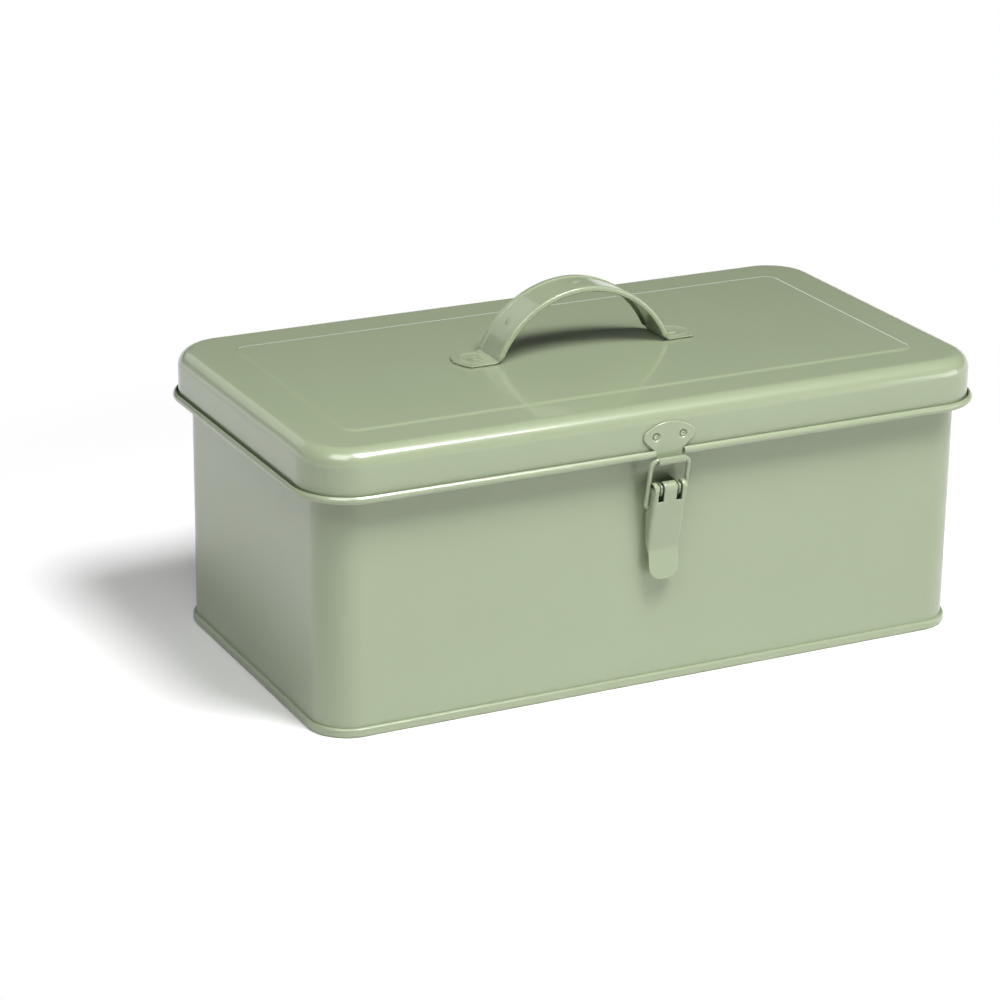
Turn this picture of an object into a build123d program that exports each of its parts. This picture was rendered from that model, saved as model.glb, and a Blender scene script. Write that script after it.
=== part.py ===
from build123d import *
from math import cos, hypot, radians, sin, sqrt
import os

# Garden seed organizer box: a painted sheet-steel case with a curled, hinged lid,
# a strap handle, a draw latch with a wire bail, two rear hinges and slotted dividers.
# Millimetres. Origin at the middle of the footprint on the ground, +X along the length,
# -Y towards the front (the latch side), +Z up. The lid is shut and latched.

os.makedirs("parts", exist_ok=True)

# ---------------------------------------------------------------- driving dimensions
# case
body_length = 320.0
body_width = 165.0
corner_radius = 17.5
closed_height = 132.0
sheet = 0.8
rim_bead_radius = 1.5
seam_height = 4.1
floor_height = 3.4
lock_seam_width = 8.0

# lid
skirt_standoff = 6.2
skirt_depth = 21.2
lid_edge_radius = 7.6
curl_bore = 0.86
curl_lip_rise = 1.5
panel_inset = 25.0
panel_depth = 0.9
panel_corner_radius = 4.0
panel_slope = 20
lid_seat_gap = 0.3

# handle
handle_sheet = 1.1
handle_width = 21.5
handle_arch_radius = 46.5
handle_rise = 31.7
handle_foot_reach = 7.3
handle_lip = 1.3
handle_shift = 3.0

# strike plate
strike_sheet = 1.0
strike_half_width = 14.2
strike_rivet_rise = 7.7
strike_head_height = 7.2
strike_crown = 6.6
strike_neck_width = 13.3
strike_rivet_spacing = 13.3
strike_shoulder_radius = 2.2
strike_waist_radius = 2.5
hook_gap = 2.5
hook_drop = 2.7
hook_lip_rise = 1.6

# draw latch
latch_pin_out = 7.2
latch_pin_height = 94.5
latch_pin_radius = 1.5
knuckle_radius = 3.0
lever_sheet = 1.0
lever_width = 16.0
lever_heel_out = 4.7
lever_heel_drop = 29.5
lever_tip_out = 6.2
lever_tip_drop = 43.5
lever_tip_radius = 6.3
lever_flange_out = 1.4
lever_slot_depth = 5.6
tongue_width = 6.6
ear_slot_width = 2.4
bail_pivot_out = 4.1
bail_pivot_drop = 9.0
bail_wire = 2.0
bail_corner_radius = 3.4
bail_end_radius = 1.4
bail_end_inside = 0.4
base_sheet = 1.2
base_width = 11.2
base_foot_drop = 33.0
base_foot_radius = 4.5
ear_setback = 0.4
base_rivet_drops = (12.5, 26.5)

# hinges
hinge_spacing = 190.0
hinge_width = 40.0
hinge_sheet = 1.0
hinge_pin_radius = 1.6
hinge_knuckle_radius = 2.7
hinge_middle_knuckle = 19.2
hinge_leaf_drop = 24.0
hinge_body_corner = 4.0
hinge_lid_corner = 3.0
hinge_pin_below_curl = 4.8
hinge_rivet_spacing = 26.0
hinge_rivet_drop = 14.9

# rivets, and clearances
rivet_radius = 1.6
rivet_head_radius = 2.9
rivet_head_height = 0.7
rivet_head_slope = 20
rivet_tail_height = 0.5
rivet_clearance = 0.03
pin_clearance = 0.06
side_clearance = 0.35
edge_gap = 0.5

# Round forms that repeat or run right round the box are drawn in a few flat sides: a rivet,
# a rolled eye and a wire in a full turn, a curl in half a turn, an edge or bend in a quarter.
rivet_sides = 8
eye_sides = 16
bead_sides = 6
wire_sides = 8
scoop_sides = 20
curl_sides = 5
edge_sides = 5
bend_sides = 4

# dividers
divider_sheet = 0.8
divider_height = 92.0
divider_count = 3
divider_slot_clearance = 0.6
scoop_radius = 14.0
end_tab = 9.0

# ---------------------------------------------------------------- places that follow
wall = body_width / 2
end_wall = body_length / 2
skirt = wall + skirt_standoff
curl_height = closed_height - skirt_depth
curl_radius = curl_bore + sheet
hem_rise = seam_height - 2 * sheet
panel_length = body_length + 2 * skirt_standoff - 2 * panel_inset
panel_width = body_width + 2 * skirt_standoff - 2 * panel_inset
panel_top = closed_height - panel_depth

# The rim bead sits in the lid's rounded edge, one seat gap away from its inside.
bead_offset = rim_bead_radius - sheet
bead_reach = lid_edge_radius - sheet - rim_bead_radius - lid_seat_gap
bead_aside = bead_offset - (skirt_standoff - lid_edge_radius)
bead_height = closed_height - lid_edge_radius + sqrt(bead_reach**2 - bead_aside**2)

# Latch geometry, measured outward from the front wall and up from the ground.
hook_height = curl_height - hook_drop
bar_out = skirt_standoff + strike_sheet + hook_gap / 2
bail_pivot_height = latch_pin_height - bail_pivot_drop
bail_length = hypot(bar_out - bail_pivot_out, hook_height - bail_pivot_height)
bail_arm = lever_width / 2 + side_clearance + bail_wire / 2

ear_place = tongue_width / 2 + ear_slot_width / 2
ear_radius = knuckle_radius - ear_setback

hinge_axis_out = hinge_knuckle_radius + side_clearance
hinge_axis_height = curl_height - hinge_pin_below_curl
leaf_plate_low = curl_height + curl_lip_rise + edge_gap
leaf_plate_high = closed_height - lid_edge_radius

# The handle's arch springs from its feet, which lie on the sunken panel.
arch_centre = panel_top + handle_rise - handle_arch_radius
foot_top = panel_top + handle_sheet
bend_x = sqrt(handle_arch_radius**2 - (foot_top - arch_centre) ** 2)
foot_centre = bend_x + handle_foot_reach

# Rivets, as (x, height) on the front and back walls and skirts.
strike_rivet_height = curl_height + strike_rivet_rise
strike_rivet_places = [(side * strike_rivet_spacing / 2, strike_rivet_height) for side in (-1, 1)]
base_rivet_places = [(0, latch_pin_height - drop) for drop in base_rivet_drops]
half_rivets = hinge_rivet_spacing / 2
body_leaf_rivets = hinge_axis_height - hinge_rivet_drop
lid_leaf_rivets = (leaf_plate_low + leaf_plate_high) / 2
hinge_rivet_x = [a * hinge_spacing / 2 + b * half_rivets for a in (-1, 1) for b in (-1, 1)]
body_hinge_rivet_places = [(x, body_leaf_rivets) for x in hinge_rivet_x]
lid_hinge_rivet_places = [(x, lid_leaf_rivets) for x in hinge_rivet_x]

# Across the front wall: x runs outward from it, y runs up, the plane's normal is -X.
front_section = Plane(origin=(0, -wall, 0), x_dir=(0, -1, 0), z_dir=(-1, 0, 0))


def outline(grow, mode=Mode.ADD):
    """The case's rounded rectangle, grown outward by some distance."""
    RectangleRounded(
        body_length + 2 * grow, body_width + 2 * grow, corner_radius + grow, mode=mode
    )


def band(outer, inner, low, high):
    """A wall that follows the case's outline, between two growths and two heights."""
    with BuildSketch(Plane.XY.offset(low)) as ring:
        outline(outer)
        outline(inner, mode=Mode.SUBTRACT)
    extrude(ring.sketch, amount=high - low)


def rim_path():
    """The case's outline as a wire that starts in the middle of the front wall."""
    straight_x = end_wall - corner_radius
    straight_y = wall - corner_radius
    with BuildLine() as path:
        Line((0, -wall), (straight_x, -wall))
        CenterArc((straight_x, -straight_y), corner_radius, -90, 90)
        Line((end_wall, -straight_y), (end_wall, straight_y))
        CenterArc((straight_x, straight_y), corner_radius, 0, 90)
        Line((straight_x, wall), (-straight_x, wall))
        CenterArc((-straight_x, straight_y), corner_radius, 90, 90)
        Line((-end_wall, straight_y), (-end_wall, -straight_y))
        CenterArc((-straight_x, -straight_y), corner_radius, 180, 90)
        Line((-straight_x, -wall), (0, -wall))
    return path.wire()


def arc_points(centre, radius, start, turn, sides):
    """Points along an arc, by equal steps of its angle in degrees."""
    angles = [radians(start + turn * step / sides) for step in range(sides + 1)]
    return [(centre[0] + radius * cos(a), centre[1] + radius * sin(a)) for a in angles]


def disc(plane, radius):
    """A round sketch on a plane, with a rivet's few sides."""
    with BuildSketch(plane) as circle:
        RegularPolygon(radius, rivet_sides)
    return circle.sketch


def rivet(plane, grip):
    """A set rivet: its head on the plane, its shank through the grip and a little beyond."""
    extrude(disc(plane, rivet_head_radius), amount=rivet_head_height, taper=rivet_head_slope)
    extrude(disc(plane, rivet_radius), amount=-(grip + rivet_tail_height))


def punch(plane, places):
    """Rivet holes through the sheets that lie on a plane."""
    with BuildSketch(plane) as holes:
        with Locations(*places):
            RegularPolygon(rivet_radius + rivet_clearance, rivet_sides)
    extrude(holes.sketch, amount=3 * sheet, both=True, mode=Mode.SUBTRACT)


def save(piece, name):
    """Label one finished piece and write it."""
    piece.part.label = name
    export_step(piece.part, f"parts/{name}.step")


# ---------------------------------------------------------------- case
# Wrapper: one sheet bent round and lock-seamed at the back, hemmed below, and rolled round
# a wire above.
with BuildPart() as body_wrapper:
    band(0, -sheet, sheet, bead_height)
    band(sheet, 0, sheet, sheet + hem_rise)
    with BuildSketch(front_section) as bead_section:
        with Locations((bead_offset, bead_height)):
            RegularPolygon(rim_bead_radius, bead_sides)
    sweep(sections=bead_section.sketch, path=rim_path())
    with BuildSketch(Plane.XY.offset(seam_height)):
        with Locations((0, wall)):
            Rectangle(lock_seam_width, sheet, align=(Align.CENTER, Align.MIN))
    extrude(amount=bead_height - rim_bead_radius - seam_height)
    punch(Plane.XZ.offset(wall), base_rivet_places)
    punch(Plane.XZ.offset(-wall), body_hinge_rivet_places)
save(body_wrapper, "body_wrapper")

# Base pan: a countersunk panel whose edge is folded round the wrapper's hem.
with BuildPart() as base_pan:
    band(2 * sheet, -2 * sheet, 0, sheet)
    band(-sheet, -2 * sheet, 0, floor_height)
    band(2 * sheet, sheet, 0, seam_height)
    band(2 * sheet, 0, seam_height - sheet, seam_height)
    with BuildSketch(Plane.XY.offset(floor_height - sheet)):
        outline(-2 * sheet)
    extrude(amount=sheet)
    seam_top = base_pan.faces().filter_by(Plane.XY).sort_by(Axis.Z)[-1]
    chamfer(seam_top.outer_wire().edges(), sheet / 2)
save(base_pan, "base_pan")

# Dividers: one along the box, with end tabs against the end walls, and short ones that
# drop over it in half-lap slots, each with two scoops for the fingers.
inner_length = body_length - 2 * sheet
inner_width = body_width - 2 * sheet
slot_width = divider_sheet + divider_slot_clearance
divider_pitch = inner_length / (divider_count + 1)
divider_middle = floor_height + divider_height / 2

with BuildPart() as long_divider:
    with BuildSketch(Plane.XZ):
        with Locations((0, floor_height)):
            Rectangle(inner_length, divider_height, align=(Align.CENTER, Align.MIN))
        with Locations((0, floor_height + divider_height)):
            with GridLocations(divider_pitch, 1, divider_count, 1):
                Rectangle(slot_width, divider_height, mode=Mode.SUBTRACT)
    extrude(amount=divider_sheet / 2, both=True)
    for side in (-1, 1):
        with BuildSketch(Plane.XY.offset(floor_height)):
            with Locations((side * (inner_length - divider_sheet) / 2, end_tab / 2)):
                Rectangle(divider_sheet, end_tab)
        extrude(amount=divider_height)
save(long_divider, "long_divider")

for number in range(divider_count):
    place = (number - (divider_count - 1) / 2) * divider_pitch
    with BuildPart() as cross_divider:
        with BuildSketch(Plane.YZ.offset(place)):
            with Locations((0, floor_height)):
                Rectangle(inner_width - 2 * edge_gap, divider_height, align=(Align.CENTER, Align.MIN))
                Rectangle(slot_width, divider_height, mode=Mode.SUBTRACT)
            with Locations((-wall / 2, floor_height + divider_height), (wall / 2, floor_height + divider_height)):
                RegularPolygon(scoop_radius, scoop_sides, mode=Mode.SUBTRACT)
        extrude(amount=divider_sheet / 2, both=True)
    save(cross_divider, f"cross_divider_{number + 1}")

# ---------------------------------------------------------------- lid
strike_notch = strike_neck_width + 2 * edge_gap
hinge_notch = hinge_middle_knuckle + 2 * edge_gap

with BuildPart() as lid_shell:
    # the skirt in section, one sheet thick: a rounded edge above, an open curl below
    edge_centre = (skirt_standoff - lid_edge_radius, closed_height - lid_edge_radius)
    curl_centre = (skirt_standoff + curl_bore, curl_height)
    lip_top = curl_height + curl_lip_rise
    with BuildSketch(front_section) as skirt_section:
        with BuildLine():
            Polyline(
                *arc_points(edge_centre, lid_edge_radius, 90, -90, edge_sides),
                *arc_points(curl_centre, curl_bore, 180, 180, curl_sides),
                (curl_centre[0] + curl_bore, lip_top),
                (curl_centre[0] + curl_radius, lip_top),
                *arc_points(curl_centre, curl_radius, 0, -180, curl_sides),
                *arc_points(edge_centre, lid_edge_radius - sheet, 0, 90, edge_sides),
                close=True,
            )
        make_face()
    sweep(sections=skirt_section.sketch, path=rim_path())
    # the top, and the panel pressed down from it
    with BuildSketch(Plane.XY.offset(closed_height - sheet)):
        outline(skirt_standoff - lid_edge_radius)
    extrude(amount=sheet)
    with BuildSketch(Plane.XY.offset(panel_top - sheet)):
        RectangleRounded(panel_length + 2 * sheet, panel_width + 2 * sheet, panel_corner_radius + sheet)
    extrude(amount=panel_depth)
    with BuildSketch(Plane.XY.offset(closed_height)):
        RectangleRounded(panel_length, panel_width, panel_corner_radius)
    extrude(amount=-panel_depth, taper=panel_slope, mode=Mode.SUBTRACT)
    # the curl is cut away where the strike's neck and the hinge leaves pass
    notches = [(0, -1, strike_notch)]
    notches += [(side * hinge_spacing / 2, 1, hinge_notch) for side in (-1, 1)]
    for x, face, width in notches:
        for low, high, start in (
            (curl_height - 2 * curl_radius, curl_height, skirt - 2 * sheet),
            (curl_height, curl_height + curl_lip_rise + edge_gap, skirt),
        ):
            depth = 4 * curl_radius
            with Locations((x, face * (start + depth / 2), (low + high) / 2)):
                Box(width, depth, high - low, mode=Mode.SUBTRACT)
    punch(Plane.XZ.offset(skirt), strike_rivet_places)
    punch(Plane.XZ.offset(-skirt), lid_hinge_rivet_places)
    punch(Plane.XY.offset(panel_top), [(side * foot_centre, handle_shift) for side in (-1, 1)])
save(lid_shell, "lid_shell")

# Handle: a bent strap with its edges turned down and two half-round feet.
with BuildPart() as handle_strap:
    with BuildSketch(Plane.YZ):
        with Locations((handle_shift, arch_centre + handle_arch_radius)):
            Rectangle(handle_width, handle_sheet + handle_lip, align=(Align.CENTER, Align.MAX))
        with Locations((handle_shift, arch_centre + handle_arch_radius - handle_sheet)):
            inner_span = handle_width - 2 * handle_sheet
            Rectangle(inner_span, 2 * handle_lip, align=(Align.CENTER, Align.MAX), mode=Mode.SUBTRACT)
    revolve(axis=Axis((0, 0, arch_centre), (0, 1, 0)), revolution_arc=360)
    with Locations((0, handle_shift, panel_top)):
        below = 3 * handle_arch_radius
        Box(below, below, below, align=(Align.CENTER, Align.CENTER, Align.MAX), mode=Mode.SUBTRACT)
    # the feet, half-round when seen from above
    with BuildSketch(Plane.XY.offset(panel_top)):
        with Locations((0, handle_shift)):
            SlotCenterToCenter(2 * foot_centre, handle_width)
            Rectangle(2 * bend_x - 2 * handle_sheet, handle_width, mode=Mode.SUBTRACT)
    extrude(amount=handle_sheet)
    punch(Plane.XY.offset(panel_top), [(side * foot_centre, handle_shift) for side in (-1, 1)])
save(handle_strap, "handle_strap")

with BuildPart() as handle_rivets:
    for side in (-1, 1):
        rivet(Plane((side * foot_centre, handle_shift, foot_top)), handle_sheet + sheet)
save(handle_rivets, "handle_rivets")

# ---------------------------------------------------------------- strike plate
with BuildPart() as strike_plate:
    with BuildSketch(Plane.XZ.offset(skirt)) as strike_face:
        half_neck = strike_neck_width / 2
        with BuildLine():
            Polyline(
                (-strike_half_width, strike_rivet_height),
                (-half_neck, strike_rivet_height - strike_head_height),
                (-half_neck, hook_height),
                (half_neck, hook_height),
                (half_neck, strike_rivet_height - strike_head_height),
                (strike_half_width, strike_rivet_height),
            )
            ThreePointArc(
                (-strike_half_width, strike_rivet_height),
                (0, strike_rivet_height + strike_crown),
                (strike_half_width, strike_rivet_height),
            )
        make_face()
        corners = strike_face.vertices().group_by(Axis.Y)
        fillet(corners[-1], strike_shoulder_radius)
        fillet(strike_face.vertices().group_by(Axis.Y)[1], strike_waist_radius)
    extrude(amount=strike_sheet)
    # the hook: the neck's end rolled outward and up
    with BuildSketch(front_section):
        with Locations((bar_out, hook_height)):
            Circle(hook_gap / 2 + strike_sheet)
            Circle(hook_gap / 2, mode=Mode.SUBTRACT)
            Rectangle(4 * hook_gap, 2 * hook_gap, align=(Align.CENTER, Align.MIN), mode=Mode.SUBTRACT)
        with Locations((bar_out + hook_gap / 2, hook_height)):
            Rectangle(strike_sheet, hook_lip_rise, align=(Align.MIN, Align.MIN))
    extrude(amount=half_neck, both=True)
    punch(Plane.XZ.offset(skirt), strike_rivet_places)
    lip_height = hook_height + hook_lip_rise
    lip_top = strike_plate.edges().filter_by(Axis.X).filter_by_position(
        Axis.Z, lip_height - edge_gap / 2, lip_height + edge_gap / 2
    )
    fillet(lip_top, strike_sheet * 0.4)
save(strike_plate, "strike_plate")

with BuildPart() as strike_rivets:
    for x, height in strike_rivet_places:
        face = Plane(origin=(x, -skirt - strike_sheet, height), x_dir=(1, 0, 0), z_dir=(0, -1, 0))
        rivet(face, strike_sheet + sheet)
save(strike_rivets, "strike_rivets")

# ---------------------------------------------------------------- draw latch
# Base: a plate riveted to the front wall with two ears that carry the lever's pin.
with BuildPart() as latch_base:
    with BuildSketch(Plane.XZ.offset(wall)):
        with Locations((0, latch_pin_height + knuckle_radius)):
            Rectangle(base_width, base_foot_drop + knuckle_radius, align=(Align.CENTER, Align.MAX))
        fillet(vertices().group_by(Axis.Y)[0], base_foot_radius)
    extrude(amount=base_sheet)
    for side in (-1, 1):
        with BuildSketch(front_section.offset(-side * ear_place)):
            with Locations((latch_pin_out, latch_pin_height)):
                RegularPolygon(ear_radius, eye_sides)
            with BuildLine():
                Polyline(
                    (base_sheet / 2, latch_pin_height - knuckle_radius - ear_radius),
                    (latch_pin_out, latch_pin_height - ear_radius),
                    (latch_pin_out, latch_pin_height + ear_radius),
                    (base_sheet / 2, latch_pin_height + knuckle_radius),
                    close=True,
                )
            make_face()
        extrude(amount=base_sheet / 2, both=True)
    with BuildSketch(front_section):
        with Locations((latch_pin_out, latch_pin_height)):
            Circle(latch_pin_radius + pin_clearance / 2)
    extrude(amount=lever_width, both=True, mode=Mode.SUBTRACT)
    punch(Plane.XZ.offset(wall), base_rivet_places)
save(latch_base, "latch_base")

with BuildPart() as latch_base_rivets:
    for x, height in base_rivet_places:
        face = Plane(origin=(x, -wall - base_sheet, height), x_dir=(1, 0, 0), z_dir=(0, -1, 0))
        rivet(face, base_sheet + sheet)
save(latch_base_rivets, "latch_base_rivets")

with BuildPart() as latch_pin:
    with BuildSketch(front_section):
        with Locations((latch_pin_out, latch_pin_height)):
            Circle(latch_pin_radius)
    extrude(amount=lever_width / 2, both=True)
save(latch_pin, "latch_pin")

# Lever: a pressed channel. Its upper end is a rolled knuckle with a spring tongue between
# two slots for the ears; its lower end turns outward as the finger tip.
heel_height = latch_pin_height - lever_heel_drop
tip_height = latch_pin_height - lever_tip_drop
flange_start = heel_height - 2 * lever_sheet
with BuildPart() as latch_lever:
    with BuildSketch(front_section):
        with BuildLine():
            Polyline(
                (latch_pin_out + knuckle_radius, latch_pin_height),
                (lever_heel_out, heel_height),
                (lever_tip_out, tip_height),
                (lever_tip_out - lever_sheet, tip_height),
                (lever_heel_out - lever_sheet, flange_start),
                (lever_flange_out, heel_height + knuckle_radius),
                (lever_flange_out, bail_pivot_height + knuckle_radius),
                (latch_pin_out - knuckle_radius, latch_pin_height),
                close=True,
            )
        make_face()
    extrude(amount=lever_width / 2, both=True)
    # the channel's inside
    with BuildSketch(front_section):
        with BuildLine():
            Polyline(
                (latch_pin_out + knuckle_radius - lever_sheet, latch_pin_height),
                (lever_heel_out - lever_sheet, heel_height),
                (lever_heel_out - lever_sheet, flange_start),
                (0, flange_start),
                (0, latch_pin_height + knuckle_radius),
                (latch_pin_out, latch_pin_height + knuckle_radius),
                close=True,
            )
        make_face()
    extrude(amount=lever_width / 2 - lever_sheet, both=True, mode=Mode.SUBTRACT)
    # the rolled knuckle
    with BuildSketch(front_section):
        with Locations((latch_pin_out, latch_pin_height)):
            RegularPolygon(knuckle_radius, eye_sides)
    extrude(amount=lever_width / 2, both=True)
    # slots for the ears, either side of the tongue
    slot_low = latch_pin_height - lever_slot_depth
    for side in (-1, 1):
        with Locations((side * ear_place, -wall - latch_pin_out, slot_low)):
            Box(
                ear_slot_width,
                4 * knuckle_radius,
                4 * knuckle_radius,
                align=(Align.CENTER, Align.CENTER, Align.MIN),
                mode=Mode.SUBTRACT,
            )
    # bores for the pin and for the bail's inturned ends
    with BuildSketch(front_section):
        with Locations((latch_pin_out, latch_pin_height)):
            Circle(latch_pin_radius + pin_clearance)
        with Locations((bail_pivot_out, bail_pivot_height)):
            Circle(bail_wire / 2 + pin_clearance)
    extrude(amount=lever_width, both=True, mode=Mode.SUBTRACT)
    # the rounded finger tip
    tip_corners = latch_lever.edges().filter_by(Axis.Y, tolerance=1).sort_by(Axis.Z)[0:2]
    fillet(tip_corners, lever_tip_radius)
save(latch_lever, "latch_lever")

# Bail: one bent wire. It hangs on the lever's cheeks and lies in the strike's hook.
bail_inner_end = lever_width / 2 - lever_sheet - bail_end_inside
bail_plane = Plane(
    origin=(0, -wall - bail_pivot_out, bail_pivot_height),
    x_dir=(1, 0, 0),
    z_dir=(0, bail_pivot_height - hook_height, bail_pivot_out - bar_out),
)
with BuildPart() as latch_bail:
    end_x = bail_arm - bail_end_radius
    corner_x = bail_arm - bail_corner_radius
    corner_y = bail_length - bail_corner_radius
    with BuildLine(bail_plane) as bail_path:
        Polyline(
            (-bail_inner_end, 0),
            *arc_points((-end_x, bail_end_radius), bail_end_radius, 270, -90, bend_sides),
            *arc_points((-corner_x, corner_y), bail_corner_radius, 180, -90, bend_sides),
            *arc_points((corner_x, corner_y), bail_corner_radius, 90, -90, bend_sides),
            *arc_points((end_x, bail_end_radius), bail_end_radius, 0, -90, bend_sides),
            (bail_inner_end, 0),
        )
    with BuildSketch(Plane(origin=bail_path.wire() @ 0, z_dir=bail_path.wire() % 0)):
        RegularPolygon(bail_wire / 2, wire_sides)
    sweep(transition=Transition.RIGHT)
save(latch_bail, "latch_bail")

# ---------------------------------------------------------------- hinges
middle = hinge_middle_knuckle / 2
outer_knuckle = (hinge_width - hinge_middle_knuckle) / 2 - edge_gap
back_section = Plane(origin=(0, wall, 0), x_dir=(0, 1, 0), z_dir=(1, 0, 0))
clear_of_knuckle = hinge_axis_height - hinge_knuckle_radius - edge_gap


def knuckle(centre, width, bore):
    """A rolled eye on the hinge axis, bored for the pin, centred at some x."""
    with BuildSketch(back_section.offset(centre)) as ring:
        with Locations((hinge_axis_out, hinge_axis_height)):
            RegularPolygon(hinge_knuckle_radius, eye_sides)
            Circle(bore, mode=Mode.SUBTRACT)
    extrude(ring.sketch, amount=width / 2, both=True)


def leaf_sheet(centre, width, points):
    """A leaf's folded sheet, as its section's corner points carried along the hinge."""
    with BuildSketch(back_section.offset(centre)) as section:
        with BuildLine():
            Polyline(*points, close=True)
        make_face()
    extrude(section.sketch, amount=width / 2, both=True)


for side, word in ((-1, "left"), (1, "right")):
    x = side * hinge_spacing / 2
    bore = hinge_pin_radius + pin_clearance

    with BuildPart() as body_leaf:
        low = hinge_axis_height - hinge_leaf_drop
        leaf_sheet(
            x,
            hinge_width,
            [(0, low), (hinge_sheet, low), (hinge_sheet, clear_of_knuckle), (0, clear_of_knuckle)],
        )
        for part_side in (-1, 1):
            place = x + part_side * (hinge_width - outer_knuckle) / 2
            leaf_sheet(
                place,
                outer_knuckle,
                [
                    (0, clear_of_knuckle - edge_gap),
                    (hinge_sheet, clear_of_knuckle - edge_gap),
                    (hinge_sheet, hinge_axis_height),
                    (0, hinge_axis_height),
                ],
            )
            knuckle(place, outer_knuckle, hinge_pin_radius + pin_clearance / 2)
        bottom = body_leaf.edges().filter_by(Axis.Y).group_by(Axis.Z)[0]
        fillet(bottom, hinge_body_corner)
        punch(Plane.XZ.offset(-wall), [(x - half_rivets, body_leaf_rivets), (x + half_rivets, body_leaf_rivets)])
    save(body_leaf, f"hinge_{word}_body_leaf")

    with BuildPart() as lid_leaf:
        inner = hinge_axis_out + hinge_knuckle_radius - hinge_sheet
        crank_low = hinge_axis_height + hinge_sheet
        leaf_sheet(
            x,
            hinge_middle_knuckle,
            [
                (inner, hinge_axis_height),
                (inner, crank_low),
                (skirt_standoff, curl_height - edge_gap),
                (skirt_standoff, leaf_plate_low),
                (skirt_standoff + hinge_sheet, leaf_plate_low),
                (skirt_standoff + hinge_sheet, curl_height - edge_gap - hinge_sheet / 3),
                (inner + hinge_sheet, crank_low - hinge_sheet / 3),
                (inner + hinge_sheet, hinge_axis_height),
            ],
        )
        leaf_sheet(
            x,
            hinge_width,
            [
                (skirt_standoff, leaf_plate_low),
                (skirt_standoff + hinge_sheet, leaf_plate_low),
                (skirt_standoff + hinge_sheet, leaf_plate_high),
                (skirt_standoff, leaf_plate_high),
            ],
        )
        knuckle(x, hinge_middle_knuckle, bore)
        top = lid_leaf.edges().filter_by(Axis.Y).group_by(Axis.Z)[-1]
        fillet(top, hinge_lid_corner)
        punch(Plane.XZ.offset(-skirt), [(x - half_rivets, lid_leaf_rivets), (x + half_rivets, lid_leaf_rivets)])
    save(lid_leaf, f"hinge_{word}_lid_leaf")

    with BuildPart() as hinge_pin:
        with BuildSketch(back_section.offset(x)):
            with Locations((hinge_axis_out, hinge_axis_height)):
                Circle(hinge_pin_radius)
        extrude(amount=hinge_width / 2 + edge_gap, both=True)
    save(hinge_pin, f"hinge_{word}_pin")

with BuildPart() as hinge_body_rivets:
    for x, height in body_hinge_rivet_places:
        face = Plane(origin=(x, wall + hinge_sheet, height), x_dir=(1, 0, 0), z_dir=(0, 1, 0))
        rivet(face, hinge_sheet + sheet)
save(hinge_body_rivets, "hinge_body_rivets")

with BuildPart() as hinge_lid_rivets:
    for x, height in lid_hinge_rivet_places:
        face = Plane(origin=(x, skirt + hinge_sheet, height), x_dir=(1, 0, 0), z_dir=(0, 1, 0))
        rivet(face, hinge_sheet + sheet)
save(hinge_lid_rivets, "hinge_lid_rivets")
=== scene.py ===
"""Looks of a garden seed organizer box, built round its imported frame.

The box is pressed and folded from thin sheet steel and sprayed with sage green enamel. Every visible
piece is a surface worked out here: a profile carried round the box, a sheet folded along a line, a
profile turned about an axis or a wire drawn along a path. Shapes are in millimetres, in the frame of
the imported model, and are turned to metres as their meshes are made.
"""

import logging
import math
from dataclasses import dataclass, field
from enum import Enum
from typing import Any, Callable, Sequence

import bmesh
import bpy
import numpy as np
from mathutils import Matrix, Vector


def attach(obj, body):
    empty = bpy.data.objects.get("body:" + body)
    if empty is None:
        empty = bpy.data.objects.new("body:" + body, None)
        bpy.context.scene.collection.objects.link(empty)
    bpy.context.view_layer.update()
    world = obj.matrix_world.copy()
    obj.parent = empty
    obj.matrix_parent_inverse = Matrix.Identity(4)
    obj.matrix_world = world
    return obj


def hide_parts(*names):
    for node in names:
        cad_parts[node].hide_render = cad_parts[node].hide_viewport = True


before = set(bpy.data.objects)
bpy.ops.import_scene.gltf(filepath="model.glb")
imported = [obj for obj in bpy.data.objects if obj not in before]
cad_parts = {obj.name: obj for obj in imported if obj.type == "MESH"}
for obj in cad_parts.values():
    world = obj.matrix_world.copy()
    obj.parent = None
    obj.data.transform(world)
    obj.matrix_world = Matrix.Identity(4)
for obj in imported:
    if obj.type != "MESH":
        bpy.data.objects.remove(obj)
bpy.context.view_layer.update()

MM = 0.001
SHARP_ANGLE = math.radians(38)
WELD_DISTANCE = 2e-7  # metres
SAME_PLACE = 1e-6  # millimetres
NO_FOLD = 0.02  # the share of a fold below which a sheet's edge counts as flat
LEVEL = 0.999  # how upright a normal is where a sheet counts as level
RIM_STEPS = 6
FOLD_STEPS = 6
WIRE_SIDES = 20
ROUND_SIDES = 40
QUARTER_TURN = np.linspace(0, math.pi / 2, 5)
WHITE = (1.0, 1.0, 1.0, 1.0)

Places = np.ndarray | float

log = logging.getLogger("seed_box")


class Body(Enum):
    """The bodies that move on their own."""

    CASE = "case"
    LID = "lid"
    LEVER = "latch_lever"
    BAIL = "latch_bail"


class Slot(Enum):
    """The record's material slots."""

    PAINT = "sage_paint"
    STEEL = "bare_steel"


# ------------------------------------------------------------------------------ lines
def unit(vectors: np.ndarray) -> np.ndarray:
    """Vectors along the last axis, each divided by its length."""
    return vectors / np.maximum(np.linalg.norm(vectors, axis=-1, keepdims=True), 1e-9)


def arc(centre: Sequence[float], radius: float, angles: np.ndarray) -> np.ndarray:
    """Points on a flat circle, centre + radius (cos f, sin f)."""
    return np.array(centre) + radius * np.stack((np.cos(angles), np.sin(angles)), 1)


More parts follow.
